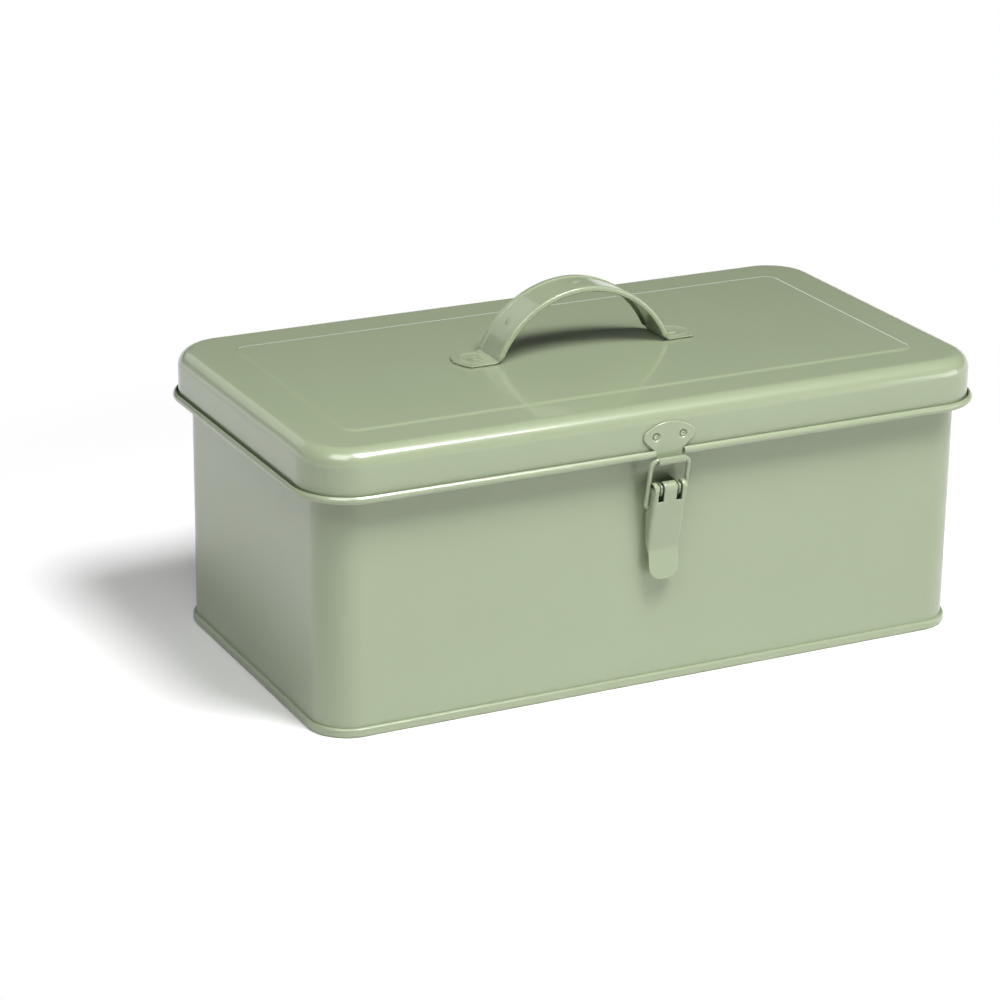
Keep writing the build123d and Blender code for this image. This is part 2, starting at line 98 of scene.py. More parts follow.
def rounded(corners: Sequence[tuple[float, float, float]], closed: bool = False,
            hold: float = 0.3, turn_step: float = 9.0) -> np.ndarray:
    """A flat line through corner points, each rounded by its own radius.

    A corner of radius R that turns by an angle A is cut back by R tan(A / 2) on both sides, and an arc
    of radius R joins the cuts. A straight stretch gets a point close to each of its ends, so that it
    shades flat beside the arcs.

    Args:
        corners: Each corner as (a, b, radius).
        closed: Whether the last corner joins the first.
        hold: How far from its ends a straight stretch gets its extra points.
        turn_step: The largest turn between two points of an arc, in degrees.

    Returns:
        The line's points, (n, 2).
    """
    points = np.array(corners, float)
    count = len(points)
    stretches = []
    for index, (a, b, radius) in enumerate(points):
        here = np.array((a, b))
        if radius == 0 or (not closed and index in (0, count - 1)):
            stretches.append(here[None])
            continue
        arriving = unit(here - points[index - 1, :2])
        leaving = unit(points[(index + 1) % count, :2] - here)
        turn = math.atan2(arriving[0] * leaving[1] - arriving[1] * leaving[0], arriving @ leaving)
        side = np.sign(turn)
        centre = here - arriving * radius * math.tan(abs(turn) / 2)
        centre = centre + side * radius * np.array((-arriving[1], arriving[0]))
        steps = max(3, math.ceil(abs(math.degrees(turn)) / turn_step))
        start = math.atan2(-side * arriving[0], side * arriving[1])
        stretches.append(arc(centre, radius, start + np.linspace(0, turn, steps + 1)))
    line = []
    for index, stretch in enumerate(stretches):
        line.append(stretch)
        if index == count - 1 and not closed:
            break
        start, end = stretch[-1], stretches[(index + 1) % count][0]
        gap = np.linalg.norm(end - start)
        if gap > 4 * hold:
            along = (end - start) / gap
            line.append(np.stack((start + along * hold, end - along * hold)))
    whole = np.concatenate(line)
    apart = np.linalg.norm(np.roll(whole, -1, 0) - whole, axis=1) > SAME_PLACE
    if not closed:
        apart[-1] = True
    return whole[apart]


def directions(path: np.ndarray) -> np.ndarray:
    """Unit directions along an open path, from its gradient over its own length."""
    length = np.concatenate(([0], np.cumsum(np.linalg.norm(np.diff(path, axis=0), axis=1))))
    return unit(np.gradient(path, length, axis=0))


def left_of(path: np.ndarray) -> np.ndarray:
    """Unit normals to the left of a flat open path: its directions turned by a right angle."""
    ways = directions(path)
    return np.stack((-ways[:, 1], ways[:, 0]), 1)


def end_places(tip: float, radius: float, first: float, steps: int, last: float = 90.0) -> np.ndarray:
    """Places tip + R (1 - cos f) along a rounded end, for f between two angles in degrees."""
    turn = np.linspace(math.radians(first), math.radians(last), steps)
    return tip + radius * (1 - np.cos(turn))


def four_places(far: float, near: float) -> np.ndarray:
    """Two pairs of places about zero: the pairs' middles far apart, and each pair's places near."""
    return np.array([a * far / 2 + b * near / 2 for a in (-1, 1) for b in (-1, 1)])


def in_order(*parts: Sequence[float] | np.ndarray, digits: int = 5) -> np.ndarray:
    """Places from several lists, rounded, in rising order and each of them once."""
    return np.unique(np.round(np.concatenate(parts), digits))


def smooth_step(value: np.ndarray, low: float, high: float) -> np.ndarray:
    """0 below low, 1 above high, and 3 t^2 - 2 t^3 between them."""
    t = np.clip((value - low) / (high - low), 0, 1)
    return t * t * (3 - 2 * t)


# ------------------------------------------------------------------------------ shapes
@dataclass
class Shape:
    """Points in millimetres, with the four-sided and many-sided faces that use them."""

    points: np.ndarray
    quads: np.ndarray
    caps: list[np.ndarray] = field(default_factory=list)

    def compact(self) -> "Shape":
        """The same shape without the points that no face uses."""
        used = np.unique(np.concatenate([self.quads.ravel(), *self.caps]))
        place = np.full(len(self.points), -1)
        place[used] = np.arange(len(used))
        return Shape(self.points[used], place[self.quads], [place[cap] for cap in self.caps])


def joined(shapes: Sequence[Shape]) -> Shape:
    """Several shapes as one, with their faces renumbered."""
    starts = np.cumsum([0] + [len(shape.points) for shape in shapes])
    return Shape(
        np.concatenate([shape.points for shape in shapes]),
        np.concatenate([shape.quads + start for shape, start in zip(shapes, starts)]),
        [cap + start for shape, start in zip(shapes, starts) for cap in shape.caps],
    )


def grid_quads(rows: int, columns: int, wrap_rows: bool = False, wrap_columns: bool = False) -> np.ndarray:
    """The cells of a grid of points as quads, (rows, columns, 4), wrapped where asked."""
    ids = np.arange(rows * columns).reshape(rows, columns)
    below = np.roll(ids, -1, 0) if wrap_rows else ids[1:]
    ids = ids if wrap_rows else ids[:-1]
    cells = np.stack((ids, np.roll(ids, -1, 1), np.roll(below, -1, 1), below), -1)
    return cells if wrap_columns else cells[:, :-1]


def carried(section: np.ndarray) -> Shape:
    """A closed section at several places along a way, (places, points, 3), capped at both ends."""
    places, count = section.shape[:2]
    quads = grid_quads(places, count, wrap_columns=True).reshape(-1, 4)
    caps = [np.arange(count), np.arange(count) + (places - 1) * count]
    return Shape(section.reshape(-1, 3), quads, caps)


def slab(section: np.ndarray, low: float, high: float, edge: float,
         place: Callable[[np.ndarray, float], np.ndarray]) -> Shape:
    """A flat section given some width, with its two rims rounded.

    The section is carried from low to high. Within one edge radius of each end it is drawn in along
    its own normals by edge (1 - sin f), at a depth of edge (1 - cos f), for f from 0 to a right angle.

    Args:
        section: The closed section, (n, 2), counterclockwise.
        low: Where the width starts.
        high: Where it ends.
        edge: The radius of the rims.
        place: Turns (section points, width) to points in space.

    Returns:
        The closed shape.
    """
    onward = unit(np.roll(section, -1, 0) - section)
    outward = np.stack((onward[:, 1], -onward[:, 0]), 1)
    outward = unit(outward + np.roll(outward, 1, 0))
    depth = edge * (1 - np.cos(QUARTER_TURN))
    drawn = edge * (1 - np.sin(QUARTER_TURN))
    widths = np.concatenate((low + depth, (high - depth)[::-1]))
    inset = np.concatenate((drawn, drawn[::-1]))
    rings = [place(section - outward * step, width) for width, step in zip(widths, inset)]
    return carried(np.stack(rings))


def pressed_sheet(face: np.ndarray, normal: np.ndarray, thickness: float,
                  keep: np.ndarray | None = None) -> Shape:
    """A sheet of metal with rounded edges, from a grid of points on its face.

    The back is the face moved inwards by the thickness. Where a kept cell borders on one that is cut
    out, or on the grid's end, the edge between face and back is a half circle: a rim point lies at
    face + m (t / 2) sin f - n (t / 2) (1 - cos f), with m the way out of the sheet, n the normal, t the
    thickness and f from 0 to a half turn.

    Args:
        face: Points on the face, (rows, columns, 3).
        normal: The face's unit normals, of the same shape.
        thickness: The sheet's thickness.
        keep: Which cells of the grid are metal, (rows - 1, columns - 1). All, when left out.

    Returns:
        The closed shape.
    """
    rows, columns = face.shape[:2]
    keep = np.ones((rows - 1, columns - 1), bool) if keep is None else keep
    cells = grid_quads(rows, columns)
    padded = np.pad(keep, 1)
    beyond = (padded[:-2, 1:-1], padded[1:-1, 2:], padded[2:, 1:-1], padded[1:-1, :-2])
    sides = [cells[keep & ~metal][:, (side, (side + 1) % 4)] for side, metal in enumerate(beyond)]
    start, end = np.concatenate(sides).T
    flat, flat_normal = face.reshape(-1, 3), normal.reshape(-1, 3)
    kept = cells[keep]
    across = np.cross(flat[kept[:, 1]] - flat[kept[:, 0]], flat[kept[:, 3]] - flat[kept[:, 0]])
    sense = np.sign(np.sum(across * flat_normal[kept[:, 0]]))
    out = unit(sense * np.cross(flat[end] - flat[start], (flat_normal[start] + flat_normal[end]) / 2))
    ways = np.zeros_like(flat)
    np.add.at(ways, start, out)
    np.add.at(ways, end, out)
    ways = unit(ways)
    half = thickness / 2
    turns = np.linspace(0, math.pi, RIM_STEPS + 1)[1:-1]
    levels = [flat + ways * half * math.sin(f) - flat_normal * half * (1 - math.cos(f)) for f in turns]
    layers = [flat, *levels, flat - flat_normal * thickness]
    ring = np.stack((start, end, end + rows * columns, start + rows * columns), 1)
    walls = [ring + level * rows * columns for level in range(len(layers) - 1)]
    back = kept[:, ::-1] + (len(layers) - 1) * rows * columns
    return Shape(np.concatenate(layers), np.concatenate([kept, back, *walls])).compact()


def folded_edges(width: np.ndarray, radius: np.ndarray, depth: np.ndarray, flat: np.ndarray,
                 straight: np.ndarray) -> tuple[np.ndarray, np.ndarray, np.ndarray]:
    """Sections across a sheet whose two long edges are turned back, one for each place along it.

    A point lies at a in width and b below the face: flat in the middle, then a = w - r + r sin f and
    b = r (1 - cos f) with f up to a right angle, then straight down at the width w.

    Args:
        width: Half the width at each place.
        radius: The folds' radius at each place.
        depth: How deep the edges reach at each place.
        flat: Places across the flat middle, (places, n).
        straight: Which shares of the straight stretch below a fold get points.

    Returns:
        The places across and the depths, each (places, m), and the sine of the face's tilt, (m,).
    """
    turn = np.linspace(0, math.pi / 2, FOLD_STEPS + 1)[1:]
    wide, bend = width[:, None], radius[:, None]
    arm = np.concatenate((wide - bend + bend * np.sin(turn), np.repeat(wide, len(straight), 1)), 1)
    fall = np.concatenate((bend * (1 - np.cos(turn)), bend + (depth[:, None] - bend) * straight), 1)
    lean = np.concatenate((np.sin(turn), np.ones(len(straight))))
    return (
        np.concatenate((-arm[:, ::-1], flat, arm), 1),
        np.concatenate((fall[:, ::-1], np.zeros_like(flat), fall), 1),
        np.concatenate((-lean[::-1], np.zeros(flat.shape[1]), lean)),
    )


def bent_sheet(path: np.ndarray, side: float, across: np.ndarray, down: np.ndarray, tilt: np.ndarray,
               thickness: float, place: Callable[[Places, Places, Places], np.ndarray],
               keep: np.ndarray | None = None) -> Shape:
    """A sheet along a flat line, from places across it and depths below its face.

    A point of the face lies at place(across, line - depth outward), with outward the line's normal on
    the face's side, and its own normal is tilt across and sqrt(1 - tilt^2) outward.

    Args:
        path: The line, (n, 2).
        side: 1 when the face is on the left of the line's direction, and -1 when on the right.
        across: The places across it, (n, m).
        down: The depths below the face, (n, m).
        tilt: The sine of the face's tilt at each place across, (m,).
        thickness: The sheet's thickness.
        place: Turns (across, along the plane's first axis, along its second) to points in space.
        keep: Which cells are metal. All, when left out.

    Returns:
        The closed shape.
    """
    outward = side * left_of(path)
    a, b = outward[:, :1], outward[:, 1:]
    face = place(across, path[:, :1] - a * down, path[:, 1:] - b * down)
    upright = np.sqrt(1 - tilt**2)
    normal = place(tilt, a * upright, b * upright) - place(0.0, 0.0, 0.0)
    return pressed_sheet(face, np.broadcast_to(normal, face.shape), thickness, keep)


def outer_cells(count: int, wide: int) -> np.ndarray:
    """Which of a row's cells are among so many at either end."""
    places = np.arange(count)
    return (places < wide) | (places >= count - wide)


def tube(path: np.ndarray, side: np.ndarray, radius: float) -> Shape:
    """A round wire along a flat path, with domed ends.

    Each ring is path + radius (cos f side + sin f across), with across square to the path and to
    side. The path is drawn out by half a radius at both ends, where the rings close on a dome.

    Args:
        path: Points along the wire's middle, (n, 3), all in one plane.
        side: The plane's unit normal.
        radius: The wire's radius.

    Returns:
        The closed shape.
    """
    along = directions(path)
    turn = QUARTER_TURN[1:-1]
    rise = radius / 2 * np.sin(turn)[:, None]
    centres = np.concatenate((path[0] - along[0] * rise[::-1], path, path[-1] + along[-1] * rise))
    ways = np.pad(along, ((len(turn), len(turn)), (0, 0)), mode="edge")
    sizes = radius * np.concatenate((np.cos(turn)[::-1], np.ones(len(path)), np.cos(turn)))
    across = np.cross(ways, side)
    angles = np.linspace(0, math.tau, WIRE_SIDES, endpoint=False)
    ring = np.cos(angles)[None, :, None] * side + np.sin(angles)[None, :, None] * across[:, None]
    return carried(centres[:, None] + sizes[:, None, None] * ring)


def turned(profile: np.ndarray, centre: Sequence[float], axis: Sequence[float]) -> Shape:
    """A profile of (radius, height) points turned about an axis through a centre.

    A point lies at centre + height axis + radius (cos f u + sin f v), with u and v square to the axis.
    """
    axis = np.array(axis, float)
    helper = np.array((0, 0, 1.0)) if abs(axis[2]) < 0.5 else np.array((1.0, 0, 0))
    u = unit(np.cross(axis, helper))
    v = np.cross(axis, u)
    angles = np.linspace(0, math.tau, ROUND_SIDES, endpoint=False)
    ring = np.cos(angles)[:, None] * u + np.sin(angles)[:, None] * v
    points = np.array(centre, float) + profile[:, 1, None, None] * axis + profile[:, 0, None, None] * ring
    quads = grid_quads(len(profile), ROUND_SIDES, wrap_columns=True).reshape(-1, 4)
    return Shape(points.reshape(-1, 3), quads)


def pin_profile(radius: float, half: float, edge: float = 0.35) -> np.ndarray:
    """A pin as (radius, height) points, with both ends rounded off."""
    return rounded([(0, -half, 0), (radius, -half, edge), (radius, half, edge), (0, half, 0)], turn_step=30)


@dataclass(frozen=True)
class RivetHead:
    """A low rivet head, with a dished middle in a rounded rim."""

    radius: float = 2.9
    height: float = 0.7
    dish: float = 1.4
    depth: float = 0.35
    root: float = 0.2

    def profile(self) -> np.ndarray:
        """The head as (radius, height) points, from its middle to its root in the sheet."""
        floor = self.height - self.depth
        head = rounded([
            (0, floor, 0), (self.dish * 0.55, floor, 0.3), (self.dish, self.height, 0.4),
            (self.radius, self.height, self.height * 0.8), (self.radius, 0, 0),
        ], hold=0.05, turn_step=15)
        return np.concatenate((head, [(self.radius, -self.root), (0, -self.root)]))

    def set_at(self, places: Sequence[Sequence[float]], axis: Sequence[float]) -> Shape:
        """A head at each place, facing along an axis."""
        return joined([turned(self.profile(), place, axis) for place in places])


# ------------------------------------------------------------------------------ rings round the box
@dataclass(frozen=True)
class RingColumns:
    """Where a ring's points lie on a rounded rectangle of any size.

    A point is (fx X + ux R, fy Y + uy R), with (X, Y) the middle of a corner and R its radius.
    """

    fx: np.ndarray
    fy: np.ndarray
    ux: np.ndarray
    uy: np.ndarray

    @classmethod
    def around(cls, front: np.ndarray, back: np.ndarray, side: np.ndarray,
               corner_steps: int) -> "RingColumns":
        """Columns in order round the box, from the front's left end.

        Args:
            front: Places along the front's straight, from -1 to 1.
            back: The same along the back.
            side: The same along both short sides.
            corner_steps: How many steps each corner's quarter turn takes.

        Returns:
            The columns.
        """
        quarter = np.linspace(0, math.pi / 2, corner_steps + 1)[1:-1]
        parts = []
        for number, places in enumerate((front, side, back[::-1] * -1, side)):
            start = -math.pi / 2 + number * math.pi / 2
            cos, sin = round(math.cos(start)), round(math.sin(start))
            turn = start + quarter
            straight, corner = np.ones(len(places)), np.ones(len(turn))
            parts.append((
                np.concatenate((places * -sin + cos, corner * (cos - sin))),
                np.concatenate((places * cos + sin, corner * (sin + cos))),
                np.concatenate((straight * cos, np.cos(turn))),
                np.concatenate((straight * sin, np.sin(turn))),
            ))
        return cls(*np.concatenate(parts, 1))

    def rings(self, half_length: np.ndarray, half_width: np.ndarray, radius: np.ndarray,
              height: np.ndarray) -> np.ndarray:
        """The points of several rings, (rings, columns, 3)."""
        middle_x = (half_length - radius)[:, None]
        middle_y = (half_width - radius)[:, None]
        x = middle_x * self.fx + radius[:, None] * self.ux
        y = middle_y * self.fy + radius[:, None] * self.uy
        return np.stack((x, y, np.broadcast_to(height[:, None], x.shape)), -1)


def held_places(stops: Sequence[float], hold: float, steps: int) -> np.ndarray:
    """Places along a straight from -1 to 1, with some stops and a point held near each end."""
    return in_order(np.linspace(-1 + hold, 1 - hold, steps), (-1, 1), stops, digits=6)


# ------------------------------------------------------------------------------ materials
def linear(hex_colour: str) -> tuple[float, float, float, float]:
    """An sRGB hex colour as linear red, green, blue and a full alpha."""
    levels = np.array([int(hex_colour[start:start + 2], 16) for start in (1, 3, 5)]) / 255
    light = np.where(levels <= 0.04045, levels / 12.92, ((levels + 0.055) / 1.055) ** 2.4)
    return (*(float(value) for value in light), 1.0)


def add_node(tree: bpy.types.NodeTree, kind: str, settings: dict[str, Any] | None = None,
             inputs: dict[Any, Any] | None = None) -> bpy.types.Node:
    """Adds a node, sets it and links it.

    Args:
        tree: The material's or the world's node tree.
        kind: The node's type.
        settings: Attribute names and their values.
        inputs: Socket names or numbers, each with a value or with the socket that it is linked from.

    Returns:
        The node.
    """
    node = tree.nodes.new(kind)
    for name, value in (settings or {}).items():
        setattr(node, name, value)
    for name, value in (inputs or {}).items():
        if isinstance(value, bpy.types.NodeSocket):
            tree.links.new(value, node.inputs[name])
        else:
            node.inputs[name].default_value = value
    return node


def per_millimetre(size: float) -> float:
    """The noise scale at which a feature is about so many millimetres wide."""
    return 1 / (size * MM)


@dataclass(frozen=True)
class Finish:
    """A finish on a piece, made as a material once and then reused."""

    name: str
    slot: Slot

    def material(self) -> bpy.types.Material:
        """The finish's material, made at its first use."""
        found = bpy.data.materials.get(self.name)
        if found:
            return found
        made = bpy.data.materials.new(self.name)
        made.use_nodes = True
        made.node_tree.nodes.clear()
        self.build(made.node_tree)
        return made

    def build(self, tree: bpy.types.NodeTree) -> None:
        """Fills the material's node tree."""
        raise NotImplementedError


@dataclass(frozen=True)
class SprayedEnamel(Finish):
    """Stoved alkyd enamel sprayed on phosphated sheet steel.

    It levels to a soft gloss with a faint orange peel, and the colour drifts a little with the
    thickness of the coat. The eye sees a clear but slightly blurred mirror of what is near.
    """

    colour: str = "#97a385"
    thin_colour: str = "#939f81"
    roughness: float = 0.32
    unevenness: float = 0.03
    coat: float = 0.8
    coat_roughness: float = 0.08
    drift_width: float = 60.0
    peel_width: float = 1.8
    peel_height: float = 0.004

    def build(self, tree: bpy.types.NodeTree) -> None:
        """Noise of two sizes mixes the colours and lifts the surface under a glossy shader."""
        place = add_node(tree, "ShaderNodeTexCoord").outputs["Object"]
        drift = add_node(tree, "ShaderNodeTexNoise", inputs={
            "Vector": place, "Scale": per_millimetre(self.drift_width), "Detail": 2.0})
        colour = add_node(tree, "ShaderNodeMix", {"data_type": "RGBA"}, {
            "Factor": drift.outputs["Fac"], 6: linear(self.colour), 7: linear(self.thin_colour)})
        peel = add_node(tree, "ShaderNodeTexNoise", inputs={
            "Vector": place, "Scale": per_millimetre(self.peel_width), "Detail": 1.0})
        bump = add_node(tree, "ShaderNodeBump", inputs={
            "Height": peel.outputs["Fac"], "Distance": self.peel_height * MM, "Strength": 1.0})
        gloss = add_node(tree, "ShaderNodeMapRange", inputs={
            "Value": drift.outputs["Fac"], "To Min": self.roughness - self.unevenness,
            "To Max": self.roughness + self.unevenness})
        shader = add_node(tree, "ShaderNodeBsdfPrincipled", inputs={
            "Base Color": colour.outputs[2], "Roughness": gloss.outputs["Result"],
            "Normal": bump.outputs["Normal"], "Coat Weight": self.coat,
            "Coat Roughness": self.coat_roughness})
        add_node(tree, "ShaderNodeOutputMaterial", inputs={"Surface": shader.outputs["BSDF"]})


@dataclass(frozen=True)
class DrawnSteel(Finish):
    """Bright drawn steel wire, cut to a pin.

    Drawing leaves fine lines along the pin, so a highlight is drawn out across them. The real lines
    are finer: these are as coarse as they have to be to show.
    """

    colour: str = "#b9b8b4"
    roughness: float = 0.32
    unevenness: float = 0.1
    line_width: float = 0.25
    line_stretch: float = 0.02

    def build(self, tree: bpy.types.NodeTree) -> None:
        """Noise stretched along X, the pin's length, varies the roughness of a metal."""
        place = add_node(tree, "ShaderNodeTexCoord").outputs["Object"]
        stretch = add_node(tree, "ShaderNodeMapping", inputs={
            "Vector": place, "Scale": (self.line_stretch, 1.0, 1.0)})
        lines = add_node(tree, "ShaderNodeTexNoise", inputs={
            "Vector": stretch.outputs["Vector"], "Scale": per_millimetre(self.line_width)})
        gloss = add_node(tree, "ShaderNodeMapRange", inputs={
            "Value": lines.outputs["Fac"], "To Min": self.roughness - self.unevenness,
            "To Max": self.roughness + self.unevenness})
        shader = add_node(tree, "ShaderNodeBsdfPrincipled", inputs={
            "Base Color": linear(self.colour), "Metallic": 1.0, "Roughness": gloss.outputs["Result"]})
        add_node(tree, "ShaderNodeOutputMaterial", inputs={"Surface": shader.outputs["BSDF"]})


ENAMEL = SprayedEnamel("sprayed_sage_enamel", Slot.PAINT)
PIN_STEEL = DrawnSteel("drawn_pin_steel", Slot.STEEL)


# ------------------------------------------------------------------------------ pieces
def add_piece(name: str, shape: Shape, body: Body, finish: Finish,
              nodes: Sequence[str]) -> bpy.types.Object:
    """Makes a shape a mesh object that rides on a body and stands for some CAD nodes.

    Args:
        name: The piece's name.
        shape: Its shape, in millimetres.
        body: The body that it moves with.
        finish: Its finish.
        nodes: The CAD nodes that it replaces.

    Returns:
        The object.
    """
    mesh = bpy.data.meshes.new(name)
    faces = shape.quads.tolist() + [cap.tolist() for cap in shape.caps]
    mesh.from_pydata((shape.points * MM).tolist(), [], faces)
    work = bmesh.new()
    work.from_mesh(mesh)
    bmesh.ops.remove_doubles(work, verts=work.verts, dist=WELD_DISTANCE)
    bmesh.ops.recalc_face_normals(work, faces=work.faces)
    open_edges = sum(not edge.is_manifold for edge in work.edges)
    work.to_mesh(mesh)
    work.free()
    mesh.shade_smooth()
    mesh.set_sharp_from_angle(angle=SHARP_ANGLE)
    mesh.materials.append(finish.material())
    piece = bpy.data.objects.new(name, mesh)
    bpy.context.scene.collection.objects.link(piece)
    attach(piece, body.value)
    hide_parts(*nodes)
    log.info("%s: %d faces on %s, open edges %d", name, len(mesh.polygons), body.value, open_edges)
    return piece


@dataclass(frozen=True)
class Case:
    """The case's own sizes, which the lid and the hardware follow."""

    half_length: float = 160.0
    half_width: float = 82.5
    corner: float = 17.5
    closed_height: float = 132.0
    sheet: float = 0.8
    bead_radius: float = 1.5
    bead_height: float = 128.94
    seam_height: float = 4.1
    seam_upper: float = 0.9
    seam_lower: float = 1.15
    floor_height: float = 3.4
    floor_bend: float = 0.5
    foot_bend: float = 0.4
    floor_reach: float = 8.0
    lock_seam_width: float = 8.0
    lock_seam_root: float = 0.3
    lock_seam_edge: float = 0.55
    hold: float = 1.2
    long_steps: int = 18
    short_steps: int = 9
    corner_steps: int = 24
    bead_points: int = 30

    @property
    def wall_top(self) -> float:
        """How high the wall's outside meets the bead's circle."""
        return self.bead_height - math.sqrt(self.bead_radius**2 - (self.bead_radius - self.sheet) ** 2)

    def columns(self, front: Sequence[float] = (), back: Sequence[float] = ()) -> RingColumns:
        """Ring columns with stops at some x along the front and the back."""
        straight = self.half_length - self.corner
        hold = self.hold / straight
        return RingColumns.around(
            held_places(np.array(front) / straight, hold, self.long_steps),
            held_places(np.array(back) / straight, hold, self.long_steps),
            held_places((), 2 * hold, self.short_steps),
            self.corner_steps,
        )

    def offset_rings(self, columns: RingColumns, profile: np.ndarray) -> np.ndarray:
        """Rings at (distance outward from the wall, height) points of a profile."""
        grow, height = profile[:, 0], profile[:, 1]
        return columns.rings(self.half_length + grow, self.half_width + grow, self.corner + grow, height)

    def build_wall(self) -> None:
        """The wrapper: a wall whose upper edge is rolled round a wire, with its lock seam behind.

        The bead is a circle that touches the wall's inner side. The straight outside stops a little
        below the circle, and the straight inside starts a little below the circle's middle.
        """
        sheet, bead, top = self.sheet, self.bead_radius, self.wall_top
        below_roll, below_middle = 0.05, 0.3
        middle = bead - sheet
        turn = np.linspace(math.atan2(top - self.bead_height, -middle), math.pi, self.bead_points)
        roll = arc((middle, self.bead_height), bead, turn)
        outside = rounded([(0, sheet, 0), (0, top - below_roll, 0)])
        inside = rounded([(-sheet, self.bead_height - below_middle, 0), (-sheet, sheet, 0)])
        rings = self.offset_rings(self.columns(), np.concatenate((outside, roll, inside)))
        quads = grid_quads(*rings.shape[:2], wrap_rows=True, wrap_columns=True).reshape(-1, 4)
        wall = joined([Shape(rings.reshape(-1, 3), quads), self.lock_seam()])
        add_piece("case_wall", wall, Body.CASE, ENAMEL, ["body_wrapper"])

    def lock_seam(self) -> Shape:
        """The folded seam down the middle of the back: a flat section carried up the wall."""
        half, edge, root = self.lock_seam_width / 2, self.lock_seam_edge, self.lock_seam_root
        section = rounded([(-half, root, 0), (half, root, 0), (half, -self.sheet, edge),
                           (-half, -self.sheet, edge)], closed=True)
        low, high, near = self.seam_height, self.wall_top, 1.0
        heights = np.array((low, low + near, high - near, high))[:, None]
        band = np.broadcast_arrays(section[:, 0], self.half_width - section[:, 1], heights)
        return carried(np.stack(band, -1))

    def build_bottom(self) -> None:
        """The bottom: a floor set up from the ground, its edge folded round the wall's hem."""
        sheet, floor, rim, outer = self.sheet, self.floor_height, self.seam_height, 2 * self.sheet
        profile = rounded([
            (-self.floor_reach, floor - sheet, 0), (-outer, floor - sheet, self.floor_bend),
            (-outer, 0, self.foot_bend), (outer, 0, self.seam_lower), (outer, rim, self.seam_upper),
            (0, rim, 0), (-sheet / 2, rim, 0), (-sheet / 2, floor, 0), (-self.floor_reach, floor, 0),
        ])
        rings = self.offset_rings(self.columns(), profile)
        add_piece("bottom_pan", carried(rings), Body.CASE, ENAMEL, ["base_pan"])


